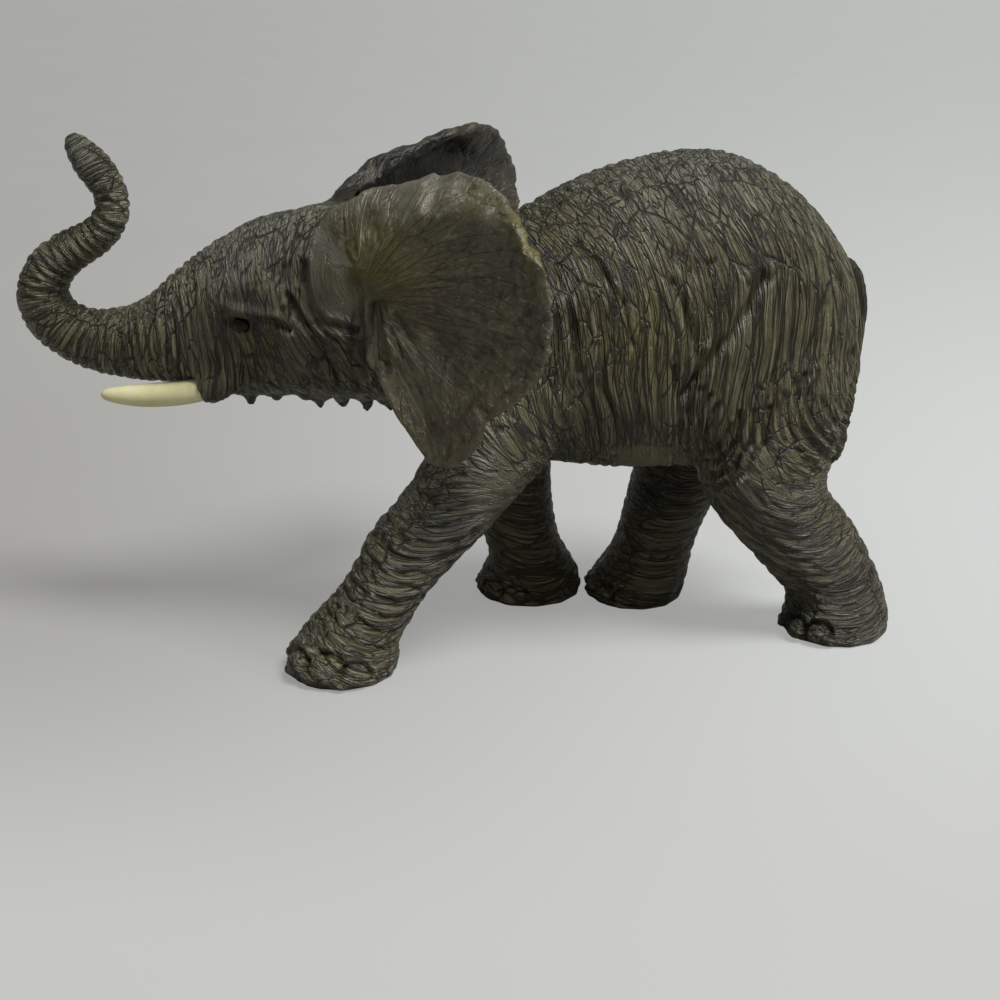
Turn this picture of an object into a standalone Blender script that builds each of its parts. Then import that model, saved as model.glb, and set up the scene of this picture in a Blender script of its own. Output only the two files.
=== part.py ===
"""A toy elephant figure, walking with its trunk raised and its head turned a little to one side.

The figure is built from castings that plug together: a torso with sockets for the neck, four legs and
a tail, and a head with sockets for the trunk, the lower jaw, two ears, two tusks and two eye beads.
Lengths are in metres, +Z is up, the head faces -X and the figure's left side faces -Y.
"""

import math
from dataclasses import dataclass

import bmesh
import bpy
from mathutils import Matrix, Vector

# Driving sizes of the whole figure
BACK_HEIGHT = 0.1068
TORSO_LENGTH = 0.1030
TORSO_WIDTH = 0.0500
NECK_STATION = -0.0350
FIT_GAP = 0.00035
FOOT_GAP = 0.0006

# Head, measured forward from the neck and up from the neck's height
NECK_HEIGHT_SHARE = 0.702
HEAD_TURN_DEGREES = -15.0
HEAD_TILT_DEGREES = 3.0
HEAD_LENGTH = 0.0600
HEAD_HEIGHT = 0.0420
HEAD_WIDTH = 0.0350
FACE_START_SHARE = 0.74

# Trunk
TRUNK_RADIUS = 0.0104
TRUNK_REACH = 0.0285
TRUNK_RISE = 0.0462
TRUNK_PLUG_RADIUS = 0.0065
TRUNK_PLUG_LENGTH = 0.0080
TRUNK_RIB_PITCH = 0.0020
TRUNK_RIB_HEIGHT = 0.00022
TRUNK_TIP_RADIUS = 0.0016
NOSTRIL_RADIUS = 0.00065
NOSTRIL_DEPTH = 0.0022
NOSTRIL_SPREAD_SHARE = 0.45
RIB_FADE_RADII = 8.0

# Ears
EAR_REACH = 0.0465
EAR_THICKNESS = 0.0017
EAR_CURL_DEGREES = 125.0
EAR_CREST_DEGREES = 96.0
EAR_CREST_SPAN_DEGREES = 72.0
EAR_CUP_DEGREES = 16.0
EAR_RUFFLE = 0.0007
EAR_RUFFLES = 9
EAR_TENON_DEPTH = 0.0085
EAR_TENON_DEGREES = 218.0
EAR_FRONT_DEGREES = 160.0
EAR_FLARE_DEGREES = {"left": 27.0, "right": 55.0}
EAR_ROLL_DEGREES = {"left": -4.0, "right": -4.0}
EAR_RAISE_DEGREES = {"left": 0.0, "right": -2.0}
EAR_SIZE_SHARES = {"left": 1.0, "right": 1.13}
EAR_ADVANCE = 0.0060
EAR_ADVANCE_SHARES = {"left": 0.0, "right": 1.0}

# Tusks
TUSK_LENGTH = 0.0222
TUSK_RADIUS = 0.0027
TUSK_ROOT_LENGTH = 0.0085
TUSK_RISE = 0.0030
TUSK_ROOT_RISE = 0.0024
TUSK_SPREAD_DEGREES = 4.0
TUSK_DROOP_DEGREES = 11.0
SHEATH_WALL = 0.0010
SHEATH_LENGTH = 0.0064

# Eyes and their lids
EYE_RADIUS = 0.0017
EYE_DEPTH = 0.0009
LID_RADIUS = 0.00055
LID_SHARE = 1.12
LID_OPENING = 0.72
LID_STEPS = 10
LID_SIDES = 5
FACE_TAPER_DEGREES = 14.0

# Lower jaw
JAW_LENGTH = 0.0230
JAW_WIDTH = 0.0092
JAW_HEIGHT = 0.0068

# Pointed folds of skin under the jaw
DEWLAP_HEIGHT = 0.0042
DEWLAP_WIDTH = 0.0048
DEWLAP_SINK = 0.0016
DEWLAP_TIP_SHARE = 0.36
DEWLAP_SIZE_STEP = 0.25

# Tail
TAIL_RADIUS = 0.0023
TAIL_LENGTH = 0.0460
TAIL_ROOT_LENGTH = 0.0070
TAIL_RIB_PITCH = 0.0023
TAIL_RIB_HEIGHT = 0.00035
TUFT_RADIUS = 0.0028

# Legs
FORELEG_DEPTH = 0.0130
FORELEG_WIDTH = 0.0106
HINDLEG_DEPTH = 0.0168
HINDLEG_WIDTH = 0.0122
FORE_TRACK = 0.0370
HIND_TRACK = 0.0265
FORE_STRIDE = 0.0425
HIND_STRIDE = 0.0190
SKIN_FOLD_HEIGHT = 0.00030
SKIN_FOLD_PITCH = 0.0040
NAIL_WIDTH = 0.0044
NAIL_HEIGHT = 0.0036
NAIL_PROUD = 0.0009
NAIL_FACE_LENGTH = 0.0016

# How finely the forms are divided
TORSO_SIDES = 22
HEAD_SIDES = 20
LEG_SIDES = 12
TRUNK_SIDES = 11
EAR_SPOKES = 28
EAR_TENON_SPOKES = 4
RINGS_PER_RIB = 2
CUT_OVERRUN = 0.001

# Torso, from chest to rump: place along it, back line, belly line, half width, height of the widest place.
# Lengths are shares of TORSO_LENGTH, heights of BACK_HEIGHT, and half widths of half the TORSO_WIDTH.
TORSO_STATION_SHARES = (
    (-0.405, 0.720, 0.600, 0.28, 0.660),
    (-0.390, 0.775, 0.535, 0.48, 0.655),
    (-0.355, 0.830, 0.470, 0.62, 0.640),
    (-0.300, 0.865, 0.430, 0.71, 0.620),
    (-0.230, 0.872, 0.408, 0.77, 0.600),
    (-0.165, 0.890, 0.390, 0.83, 0.585),
    (-0.080, 0.937, 0.376, 0.89, 0.570),
    (0.040, 0.978, 0.366, 0.99, 0.560),
    (0.180, 1.000, 0.364, 1.01, 0.560),
    (0.290, 0.982, 0.372, 0.98, 0.575),
    (0.400, 0.918, 0.400, 0.90, 0.600),
    (0.475, 0.840, 0.440, 0.75, 0.620),
    (0.510, 0.780, 0.490, 0.58, 0.630),
    (0.524, 0.715, 0.550, 0.40, 0.635),
    (0.529, 0.670, 0.600, 0.17, 0.635),
)
TORSO_RINGS_PER_SPAN = 2
TORSO_FULLNESS = 0.86

# Muscle and hollow forms of the torso: place along, height and place out from the middle as the shares
# above, then radius and height as shares of half the TORSO_WIDTH.
TORSO_SWELL_SHARES = (
    (-0.14, 0.72, 0.85, 0.36, 0.060),
    (0.20, 0.72, 0.95, 0.34, -0.050),
    (0.36, 0.84, 0.75, 0.30, 0.050),
    (0.06, 0.56, 0.95, 0.42, 0.035),
    (0.47, 0.62, 0.55, 0.30, 0.040),
)

# Head, from the neck forward: place along it, top line, bottom line, half width, height of the widest place.
# Places are shares of HEAD_LENGTH, heights of HEAD_HEIGHT from the neck's height, half widths of half HEAD_WIDTH.
HEAD_STATION_SHARES = (
    (-0.280, 0.070, -0.160, 0.24, -0.060),
    (-0.250, 0.230, -0.280, 0.52, -0.060),
    (-0.150, 0.385, -0.410, 0.80, -0.040),
    (0.000, 0.455, -0.500, 0.95, 0.000),
    (0.160, 0.475, -0.515, 1.00, 0.080),
    (0.330, 0.495, -0.505, 0.97, 0.120),
    (0.500, 0.470, -0.500, 0.88, 0.100),
    (0.640, 0.430, -0.495, 0.80, 0.050),
    (0.740, 0.350, -0.490, 0.72, -0.030),
    (0.830, 0.245, -0.475, 0.670, -0.100),
    (0.910, 0.160, -0.460, 0.640, -0.160),
    (1.000, 0.045, -0.462, 0.605, -0.208),
)
HEAD_RINGS_PER_SPAN = 2

# Forms of the skull: place along, height and place out from the middle as the shares above, then radius
# and height as shares of half the HEAD_WIDTH. Crown, brow, eye hollow, temple, cheek, lip and brow line.
HEAD_SWELL_SHARES = (
    (0.36, 0.47, 0.34, 0.32, 0.075),
    (0.62, 0.11, 0.76, 0.22, 0.085),
    (0.66, -0.05, 0.78, 0.17, -0.060),
    (0.46, 0.16, 0.90, 0.30, -0.080),
    (0.46, -0.20, 0.88, 0.40, 0.060),
    (0.90, -0.36, 0.50, 0.22, 0.060),
    (0.80, 0.24, 0.00, 0.30, 0.050),
)

# Trunk's centre line: forward from the head's front and up from its own root, then its radius.
# Places are shares of TRUNK_REACH and TRUNK_RISE, and the radius of TRUNK_RADIUS.
TRUNK_STATION_SHARES = (
    (0.000, 0.000, 1.000),
    (0.150, -0.022, 0.890),
    (0.320, -0.034, 0.785),
    (0.560, -0.033, 0.675),
    (0.753, 0.004, 0.608),
    (0.921, 0.073, 0.567),
    (0.984, 0.170, 0.538),
    (0.932, 0.281, 0.510),
    (0.791, 0.374, 0.462),
    (0.612, 0.436, 0.410),
    (0.454, 0.499, 0.375),
    (0.363, 0.584, 0.350),
    (0.353, 0.668, 0.346),
    (0.402, 0.744, 0.365),
    (0.479, 0.807, 0.378),
    (0.546, 0.865, 0.310),
    (0.595, 0.910, 0.230),
    (0.619, 0.945, 0.150),
)
TRUNK_SMOOTH_STEPS = 12

# Ear outline: bearing in degrees from straight back, counted upwards, and reach as a share of EAR_REACH.
EAR_OUTLINE_SHARES = (
    (-104.0, 0.16),
    (-81.0, 0.21),
    (-70.0, 0.37),
    (-65.0, 0.56),
    (-61.5, 0.745),
    (-56.0, 0.815),
    (-47.0, 0.825),
    (-38.0, 0.828),
    (-29.0, 0.810),
    (-18.0, 0.892),
    (-6.0, 0.970),
    (5.0, 0.998),
    (16.0, 0.996),
    (27.0, 0.916),
    (45.0, 0.800),
    (58.0, 0.675),
    (75.0, 0.530),
    (102.0, 0.440),
    (125.0, 0.425),
    (152.0, 0.370),
    (172.0, 0.260),
    (195.0, 0.190),
    (225.0, 0.155),
)
EAR_PLACE_SHARES = (0.235, 0.100, 0.914)
EAR_RING_SHARES = (0.24, 0.48, 0.67, 0.81, 0.92, 1.00)

# Tusk: place along, radius, both as shares of its length and radius, from the root to the tip.
TUSK_PROFILE_SHARES = (
    (-0.41, 0.70),
    (-0.30, 0.88),
    (0.00, 1.00),
    (0.25, 1.06),
    (0.50, 1.03),
    (0.72, 0.90),
    (0.90, 0.64),
    (0.975, 0.42),
    (1.00, 0.18),
)
TUSK_PLACE_SHARES = (0.850, -0.425, 0.50)
TUSK_SIDES = 10

# Lip round a tusk: place back and up along it as shares of SHEATH_LENGTH, and radius as a share of its own.
SHEATH_SHARES = (
    (1.45, 0.42, 0.55),
    (1.20, 0.34, 0.90),
    (0.80, 0.20, 1.05),
    (0.30, 0.06, 1.05),
    (-0.05, 0.00, 0.94),
    (-0.18, 0.00, 0.76),
)
EYE_PLACE_SHARES = (0.665, -0.045)

# Lower jaw: place along it, top, bottom, half width, as shares of its length, height and half width.
JAW_STATION_SHARES = (
    (0.00, 0.30, -0.20, 0.35),
    (0.06, 0.46, -0.36, 0.72),
    (0.35, 0.50, -0.44, 1.00),
    (0.65, 0.44, -0.46, 0.86),
    (0.84, 0.30, -0.52, 0.60),
    (0.95, 0.08, -0.66, 0.38),
    (1.00, -0.22, -0.60, 0.16),
)
JAW_PLACE_SHARES = (0.520, -0.440)
JAW_SIDES = 12

# Pointed folds of skin: their places along the head, and along the jaw, as shares of its own length.
THROAT_FOLD_SHARES = (0.10, 0.19, 0.28, 0.37, 0.46)
JAW_FOLD_SHARES = (0.26, 0.52)

# Tail: place back and down from its root along the rump, and radius, as shares of its sizes.
TAIL_STATION_SHARES = (
    (0.000, 0.000, 1.25),
    (0.048, -0.058, 1.20),
    (0.084, -0.185, 1.05),
    (0.087, -0.315, 1.00),
    (0.080, -0.530, 0.93),
    (0.070, -0.660, 0.88),
    (0.055, -0.780, 0.86),
)
TUFT_STATION_SHARES = (
    (0.040, -0.850, 0.86),
    (0.022, -0.915, 0.84),
    (0.004, -0.970, 0.55),
    (-0.004, -1.000, 0.20),
)
TAIL_PLACE_SHARES = (0.519, 0.754)
TAIL_SIDES = 8

# Legs: height, place forward of the sole, place out from the middle, half depth, half width, lean in degrees.
# Heights are shares of BACK_HEIGHT; places run from 0 over the sole to 1 at the shoulder or hip; depths and
# widths are shares of the leg's own.
FORELEG_REACHING_SHARES = (
    (0.000, 0.000, 0.00, 0.890, 1.07, 0.0),
    (0.022, 0.000, 0.00, 0.940, 1.12, 0.0),
    (0.056, 0.020, 0.00, 0.870, 1.06, 6.0),
    (0.095, 0.085, 0.03, 0.720, 0.92, 18.0),
    (0.130, 0.160, 0.06, 0.645, 0.84, 28.0),
    (0.187, 0.245, 0.12, 0.635, 0.82, 35.0),
    (0.235, 0.325, 0.18, 0.690, 0.84, 36.0),
    (0.275, 0.420, 0.25, 0.705, 0.86, 36.0),
    (0.335, 0.560, 0.36, 0.750, 0.90, 34.0),
    (0.405, 0.690, 0.50, 0.840, 0.96, 30.0),
    (0.487, 0.840, 0.72, 0.980, 1.00, 22.0),
    (0.575, 0.960, 0.90, 1.000, 0.92, 14.0),
    (0.650, 1.040, 1.00, 0.800, 0.70, 8.0),
    (0.705, 1.080, 1.05, 0.360, 0.34, 4.0),
)
FORELEG_STANDING_SHARES = (
    (0.000, 0.000, 0.00, 0.940, 1.07, 0.0),
    (0.020, 0.000, 0.00, 0.960, 1.12, 0.0),
    (0.052, 0.000, 0.00, 0.900, 1.06, 0.0),
    (0.090, 0.010, 0.05, 0.750, 0.94, 0.0),
    (0.130, -0.350, 0.12, 0.700, 0.86, 2.0),
    (0.228, -0.750, 0.26, 0.720, 0.84, 3.0),
    (0.325, -1.000, 0.45, 0.790, 0.90, 2.0),
    (0.420, -1.150, 0.65, 0.900, 0.96, 0.0),
    (0.510, -1.050, 0.82, 0.990, 0.98, -3.0),
    (0.600, -0.850, 0.95, 0.960, 0.86, -4.0),
    (0.665, -0.700, 1.00, 0.700, 0.62, -4.0),
    (0.705, -0.600, 1.05, 0.340, 0.32, -4.0),
)
HINDLEG_PUSHING_SHARES = (
    (0.000, 0.000, 0.00, 0.680, 0.92, 0.0),
    (0.020, 0.000, 0.00, 0.715, 0.97, 0.0),
    (0.052, 0.000, 0.00, 0.705, 0.94, -2.0),
    (0.097, 0.040, 0.00, 0.640, 0.84, -10.0),
    (0.133, 0.140, 0.00, 0.615, 0.78, -24.0),
    (0.171, 0.280, 0.00, 0.635, 0.77, -32.0),
    (0.208, 0.435, 0.00, 0.655, 0.79, -34.0),
    (0.243, 0.610, -0.02, 0.650, 0.82, -33.0),
    (0.281, 0.775, -0.04, 0.690, 0.87, -29.0),
    (0.316, 0.880, -0.05, 0.760, 0.94, -23.0),
    (0.375, 0.965, -0.03, 0.910, 1.02, -14.0),
    (0.455, 0.985, 0.00, 0.990, 1.07, -8.0),
    (0.545, 0.930, 0.05, 1.000, 1.07, -4.0),
    (0.615, 0.900, 0.22, 0.920, 0.99, 0.0),
    (0.665, 0.900, 0.62, 0.700, 0.76, 0.0),
    (0.695, 0.910, 1.00, 0.400, 0.40, 0.0),
)
HINDLEG_STANDING_SHARES = (
    (0.000, 0.000, 0.00, 0.670, 0.92, 0.0),
    (0.018, 0.000, 0.00, 0.690, 0.97, 0.0),
    (0.052, 0.060, 0.00, 0.665, 0.93, 3.0),
    (0.087, 0.155, 0.00, 0.590, 0.83, 9.0),
    (0.123, 0.210, 0.00, 0.560, 0.78, 13.0),
    (0.175, 0.275, 0.00, 0.570, 0.77, 15.0),
    (0.227, 0.355, 0.00, 0.600, 0.80, 17.0),
    (0.330, 0.515, 0.00, 0.690, 0.90, 19.0),
    (0.420, 0.700, -0.02, 0.840, 1.02, 17.0),
    (0.515, 0.880, 0.02, 0.960, 1.07, 12.0),
    (0.590, 0.980, 0.18, 0.930, 1.00, 6.0),
    (0.645, 1.030, 0.60, 0.720, 0.76, 2.0),
    (0.680, 1.050, 1.00, 0.400, 0.40, 0.0),
)
LEG_RINGS_PER_SPAN = 2
LEG_FOLD_SHARES = (0.085, 0.40)
SHOULDER_SHARES = (-0.160, 0.52)
HIP_SHARES = (0.330, 0.32)
STANDING_FOOT_SHARE = -0.1205
STANDING_SHOULDER_SHARE = 0.0560

# Toenails: bearing in degrees from straight ahead, outwards, and size as a share.
FORE_NAIL_SHARES = ((-52.0, 0.82), (-20.0, 0.98), (14.0, 1.00), (48.0, 0.92), (84.0, 0.76))
HIND_NAIL_SHARES = ((-44.0, 0.82), (-8.0, 1.00), (28.0, 0.96), (66.0, 0.80))

SKIN = (0.080, 0.074, 0.056)
EAR_SKIN = (0.072, 0.068, 0.052)
IVORY = (0.74, 0.70, 0.47)
EYE_BLACK = (0.012, 0.010, 0.008)


def clear_scene():
    """Removes whatever the scene holds."""
    for thing in list(bpy.data.objects):
        bpy.data.objects.remove(thing, do_unlink=True)


def new_collection(name):
    """Adds a collection to the scene."""
    made = bpy.data.collections.new(name)
    bpy.context.scene.collection.children.link(made)
    return made


def painted(name, colour, roughness):
    """A painted or moulded plastic finish."""
    made = bpy.data.materials.new(name)
    made.use_nodes = True
    shader = made.node_tree.nodes["Principled BSDF"]
    shader.inputs["Base Color"].default_value = (*colour, 1.0)
    shader.inputs["Roughness"].default_value = roughness
    shader.inputs["Metallic"].default_value = 0.0
    made.diffuse_color = (*colour, 1.0)
    return made


def smooth_rows(rows, steps):
    """The rows of a table with steps - 1 more between each two, on a Catmull-Rom curve through them."""
    made = []
    last = len(rows) - 1
    for index in range(last):
        before, start, end, after = (rows[max(0, min(last, index + shift))] for shift in (-1, 0, 1, 2))
        for step in range(steps):
            t = step / steps
            made.append(
                tuple(
                    b + 0.5 * t * (c - a + t * (2 * a - 5 * b + 4 * c - d + t * (3 * (b - c) + d - a)))
                    for a, b, c, d in zip(before, start, end, after)
                )
            )
    made.append(tuple(rows[last]))
    return made


def egg_ring(place, top, bottom, half_width, widest, sides, fullness=1.0):
    """A closed upright section across X, with unlike halves above and below its widest height.

    A fullness below 1 pushes it out towards its corners.
    """
    points = []
    for side in range(sides):
        angle = 2 * math.pi * side / sides
        height = (top - widest) if math.cos(angle) > 0 else (widest - bottom)
        across = math.copysign(abs(math.sin(angle)) ** fullness, math.sin(angle))
        up = math.copysign(abs(math.cos(angle)) ** fullness, math.cos(angle))
        points.append(Vector((place, half_width * across, widest + height * up)))
    return points


def tilted_ring(centre, half_depth, half_width, lean, sides):
    """A closed section of a limb, level when lean is 0, whose front edge rises or drops with the lean."""
    forward = Vector((math.cos(lean), 0, -math.sin(lean)))
    points = []
    for side in range(sides):
        angle = 2 * math.pi * side / sides
        points.append(
            centre + forward * (half_depth * math.cos(angle)) + Vector((0, half_width * math.sin(angle), 0))
        )
    return points


def swelled(rings, swells):
    """The rings with each point pushed outwards by rounded swells, each (centre, radius, height)."""
    made = []
    for ring in rings:
        middle = sum(ring, Vector()) / len(ring)
        moved = []
        for point in ring:
            mirrored = Vector((point.x, abs(point.y), point.z))
            push = sum(
                height * math.exp(-(mirrored - centre).length_squared / (2 * radius**2))
                for centre, radius, height in swells
            )
            outward = point - middle
            moved.append(point + outward.normalized() * push if outward.length > 0 else point)
        made.append(moved)
    return made


def link(thing, collection, parent=None):
    """Puts an object in a collection and under a parent."""
    collection.objects.link(thing)
    thing.parent = parent
    return thing


def mesh_object(name, bm, material, collection, parent=None):
    """An object of a bmesh, with its faces turned outwards and shaded smooth."""
    bmesh.ops.recalc_face_normals(bm, faces=bm.faces[:])
    mesh = bpy.data.meshes.new(name)
    bm.to_mesh(mesh)
    bm.free()
    mesh.materials.append(material)
    mesh.shade_smooth()
    return link(bpy.data.objects.new(name, mesh), collection, parent)


def bridge(bm, rings, closed=True):
    """Skins closed rings of points in order and, if closed, caps both ends."""
    rows = [[bm.verts.new(point) for point in ring] for ring in rings]
    for low, high in zip(rows, rows[1:]):
        for side in range(len(low)):
            after = (side + 1) % len(low)
            bm.faces.new((low[side], low[after], high[after], high[side]))
    if closed:
        bm.faces.new(rows[0])
        bm.faces.new(rows[-1])
    return rows


def loft(name, rings, material, collection, parent=None):
    """A closed solid skinned over rings of points."""
    bm = bmesh.new()
    bridge(bm, rings)
    return mesh_object(name, bm, material, collection, parent)


def baked_copy(name, source, collection):
    """A mesh object with the evaluated shape of another, in the same place."""
    bpy.context.view_layer.update()
    evaluated = source.evaluated_get(bpy.context.evaluated_depsgraph_get())
    mesh = bpy.data.meshes.new_from_object(evaluated)
    made = link(bpy.data.objects.new(name, mesh), collection, source.parent)
    made.location = source.location
    made.rotation_euler = source.rotation_euler
    return made


def as_helper(thing):
    """Hides a cutter from the finished figure."""
    thing.hide_render = True
    thing.display_type = "WIRE"
    return thing


def boolean(target, other, operation):
    """Cuts or joins another object, as a live modifier."""
    modifier = target.modifiers.new(f"{operation.title()} {other.name}", "BOOLEAN")
    modifier.operation = operation
    modifier.solver = "EXACT"
    modifier.object = other


def socket(target, plug, cutters, gap=FIT_GAP):
    """Cuts the seat of a piece out of what carries it, with a running gap all round."""
    cutter = as_helper(baked_copy(f"{plug.name}_seat", plug, cutters))
    cutter.data.materials.clear()
    swell = cutter.modifiers.new("Clearance", "DISPLACE")
    swell.strength = gap
    swell.mid_level = 0.0
    boolean(target, cutter, "DIFFERENCE")


def torso_point(along_share, height_share, out_share):
    """A place on the torso's own shares: along it, up from the floor, out from the middle."""
    return Vector(
        (TORSO_LENGTH * along_share, TORSO_WIDTH / 2 * out_share, BACK_HEIGHT * height_share)
    )


def head_point(along_share, height_share, out_share):
    """A place in the head's own frame: forward of the neck, up from the neck, out from the middle."""
    return Vector((-HEAD_LENGTH * along_share, HEAD_WIDTH / 2 * out_share, HEAD_HEIGHT * height_share))


def make_torso(finish, parts, figure):
    """The body casting, from the chest to the rump."""
    rings = []
    for along, top, bottom, wide, widest in smooth_rows(TORSO_STATION_SHARES, TORSO_RINGS_PER_SPAN):
        upper = torso_point(along, top, 0)
        lower = torso_point(along, bottom, 0)
        flank = torso_point(along, widest, wide)
        rings.append(
            egg_ring(upper.x, upper.z, lower.z, flank.y, flank.z, TORSO_SIDES, TORSO_FULLNESS)
        )
    swells = [
        (torso_point(along, up, out), TORSO_WIDTH / 2 * radius, TORSO_WIDTH / 2 * height)
        for along, up, out, radius, height in TORSO_SWELL_SHARES
    ]
    return loft("torso", swelled(rings, swells), finish, parts, figure)


@dataclass
class Leg:
    """One leg casting, from the sole to the root inside the torso."""

    name: str
    side: int
    sole_x: float
    root_x: float
    sole_y: float
    root_y: float
    half_depth: float
    half_width: float
    station_shares: tuple
    nail_shares: tuple

    def centre(self, height_share, back_share, out_share):
        """The middle of a section of the leg."""
        return Vector(
            (
                self.sole_x + (self.root_x - self.sole_x) * back_share,
                self.side * (self.sole_y + (self.root_y - self.sole_y) * out_share),
                BACK_HEIGHT * height_share,
            )
        )

    def fold_swell(self, height_share):
        """How far the rings of folded skin between the foot and the knee stand out at a height."""
        low, high = LEG_FOLD_SHARES
        if not low < height_share < high:
            return 0.0
        fade = math.sin(math.pi * (height_share - low) / (high - low))
        wave = math.cos(2 * math.pi * BACK_HEIGHT * height_share / SKIN_FOLD_PITCH)
        return SKIN_FOLD_HEIGHT * fade * wave

    def rings(self):
        """The sections of the leg, with folds of skin above the foot."""
        made = []
        rows = smooth_rows(self.station_shares, LEG_RINGS_PER_SPAN)
        for height, back, out, depth, width, lean in folded_rows(rows, self):
            fold = self.fold_swell(height)
            made.append(
                tilted_ring(
                    self.centre(height, back, out),
                    self.half_depth * depth + fold,
                    self.half_width * width + fold,
                    math.radians(lean),
                    LEG_SIDES,
                )
            )
        return made

    def nail(self, bearing, size):
        """A toenail at a bearing round the front of the foot."""
        height, back, out, depth, width, _ = self.station_shares[1]
        angle = math.radians(bearing)
        outward = Vector((-math.cos(angle), self.side * math.sin(angle), 0))
        along = Vector((outward.y, -outward.x, 0))
        reach = Vector((self.half_depth * depth * outward.x, self.half_width * width * outward.y, 0))
        centre = self.centre(height, back, out) + reach - outward * (NAIL_FACE_LENGTH - NAIL_PROUD)
        centre.z = NAIL_HEIGHT / 2 * size + FIT_GAP
        turn = Matrix((outward, along, Vector((0, 0, 1)))).transposed().to_4x4()
        scale = Matrix.Diagonal((NAIL_FACE_LENGTH, NAIL_WIDTH / 2 * size, NAIL_HEIGHT / 2 * size, 1))
        bm = bmesh.new()
        bmesh.ops.create_uvsphere(
            bm, u_segments=8, v_segments=5, radius=1, matrix=Matrix.Translation(centre) @ turn @ scale
        )
        return bm


def folded_rows(rows, leg):
    """The rows of a leg, with rows added on the crest and in the valley of each fold of skin."""
    low, high = LEG_FOLD_SHARES
    plain = [row for row in rows if not low < row[0] < high]
    folded = []
    half_pitch = SKIN_FOLD_PITCH / 2 / BACK_HEIGHT
    step = math.ceil(low / half_pitch)
    while step * half_pitch < high:
        folded.append(row_at(rows, step * half_pitch))
        step += 1
    return sorted([*plain, *folded])


def row_at(rows, height):
    """A row between the two that lie below and above a height."""
    for low, high in zip(rows, rows[1:]):
        if low[0] <= height <= high[0]:
            t = (height - low[0]) / (high[0] - low[0])
            return tuple(a + (b - a) * t for a, b in zip(low, high))
    return rows[-1]


def make_leg(leg, finish, parts, cutters, figure):
    """The casting of one leg, with its toenails joined on."""
    limb = loft(leg.name, leg.rings(), finish, parts, figure)
    for index, (bearing, size) in enumerate(leg.nail_shares):
        nail = mesh_object(f"{leg.name}_nail_{index}", leg.nail(bearing, size), finish, cutters, figure)
        boolean(limb, as_helper(nail), "UNION")
    return limb


def leg_list():
    """The four legs, with the far hind foot set down just behind the far fore foot."""
    shoulder_x = TORSO_LENGTH * SHOULDER_SHARES[0]
    hip_x = TORSO_LENGTH * HIP_SHARES[0]
    shoulder_y = TORSO_WIDTH / 2 * SHOULDER_SHARES[1]
    hip_y = TORSO_WIDTH / 2 * HIP_SHARES[1]
    fore_foot_x = TORSO_LENGTH * STANDING_FOOT_SHARE
    fore_half = FORELEG_DEPTH * max(row[3] for row in FORELEG_STANDING_SHARES[:3])
    hind_half = HINDLEG_DEPTH * max(row[3] for row in HINDLEG_STANDING_SHARES[:3])
    hind_foot_x = fore_foot_x + fore_half + hind_half + FOOT_GAP
    fore = (shoulder_y, FORELEG_DEPTH, FORELEG_WIDTH)
    hind = (hip_y, HINDLEG_DEPTH, HINDLEG_WIDTH)
    return (
        Leg("foreleg_left", -1, shoulder_x - FORE_STRIDE, shoulder_x, FORE_TRACK / 2, *fore,
            FORELEG_REACHING_SHARES, FORE_NAIL_SHARES),
        Leg("foreleg_right", 1, fore_foot_x, fore_foot_x + TORSO_LENGTH * STANDING_SHOULDER_SHARE,
            FORE_TRACK / 2, *fore, FORELEG_STANDING_SHARES, FORE_NAIL_SHARES),
        Leg("hindleg_left", -1, hip_x + HIND_STRIDE, hip_x, HIND_TRACK / 2, *hind,
            HINDLEG_PUSHING_SHARES, HIND_NAIL_SHARES),
        Leg("hindleg_right", 1, hind_foot_x, hip_x, HIND_TRACK / 2, *hind,
            HINDLEG_STANDING_SHARES, HIND_NAIL_SHARES),
    )


def make_head(finish, parts, turn):
    """The skull casting, from the neck plug to the face of the trunk joint."""
    rings = []
    for along, top, bottom, wide, widest in smooth_rows(HEAD_STATION_SHARES, HEAD_RINGS_PER_SPAN):
        upper = head_point(along, top, 0)
        lower = head_point(along, bottom, 0)
        cheek = head_point(along, widest, wide)
        ring = egg_ring(upper.x, upper.z, lower.z, cheek.y, cheek.z, HEAD_SIDES)
        lean = trunk_start_slope() * max(0.0, (along - FACE_START_SHARE) / (1 - FACE_START_SHARE))
        middle = (upper.z + lower.z) / 2
        rings.append([Vector((point.x - lean * (point.z - middle), point.y, point.z)) for point in ring])
    swells = [
        (head_point(along, up, out), HEAD_WIDTH / 2 * radius, HEAD_WIDTH / 2 * height)
        for along, up, out, radius, height in HEAD_SWELL_SHARES
    ]
    return loft("head", swelled(rings, swells), finish, parts, turn)


def trunk_line():
    """The trunk's centre line and radius, close together, as (place, radius)."""
    root = head_point(1, 0, 0) + Vector((-FIT_GAP, 0, HEAD_HEIGHT * trunk_root_height_share()))
    made = []
    for forward, up, radius in smooth_rows(TRUNK_STATION_SHARES, TRUNK_SMOOTH_STEPS):
        place = root + Vector((-TRUNK_REACH * forward, 0, TRUNK_RISE * up))
        made.append((place, TRUNK_RADIUS * radius))
    return made


def trunk_start_slope():
    """How steeply the trunk leaves the face: its drop over its reach at the root."""
    (start, _), (after, _) = trunk_line()[:2]
    return (after.z - start.z) / (after.x - start.x)


def trunk_root_height_share():
    """The height of the middle of the head's front face."""
    _, top, bottom, _, _ = HEAD_STATION_SHARES[-1]
    return (top + bottom) / 2


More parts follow.
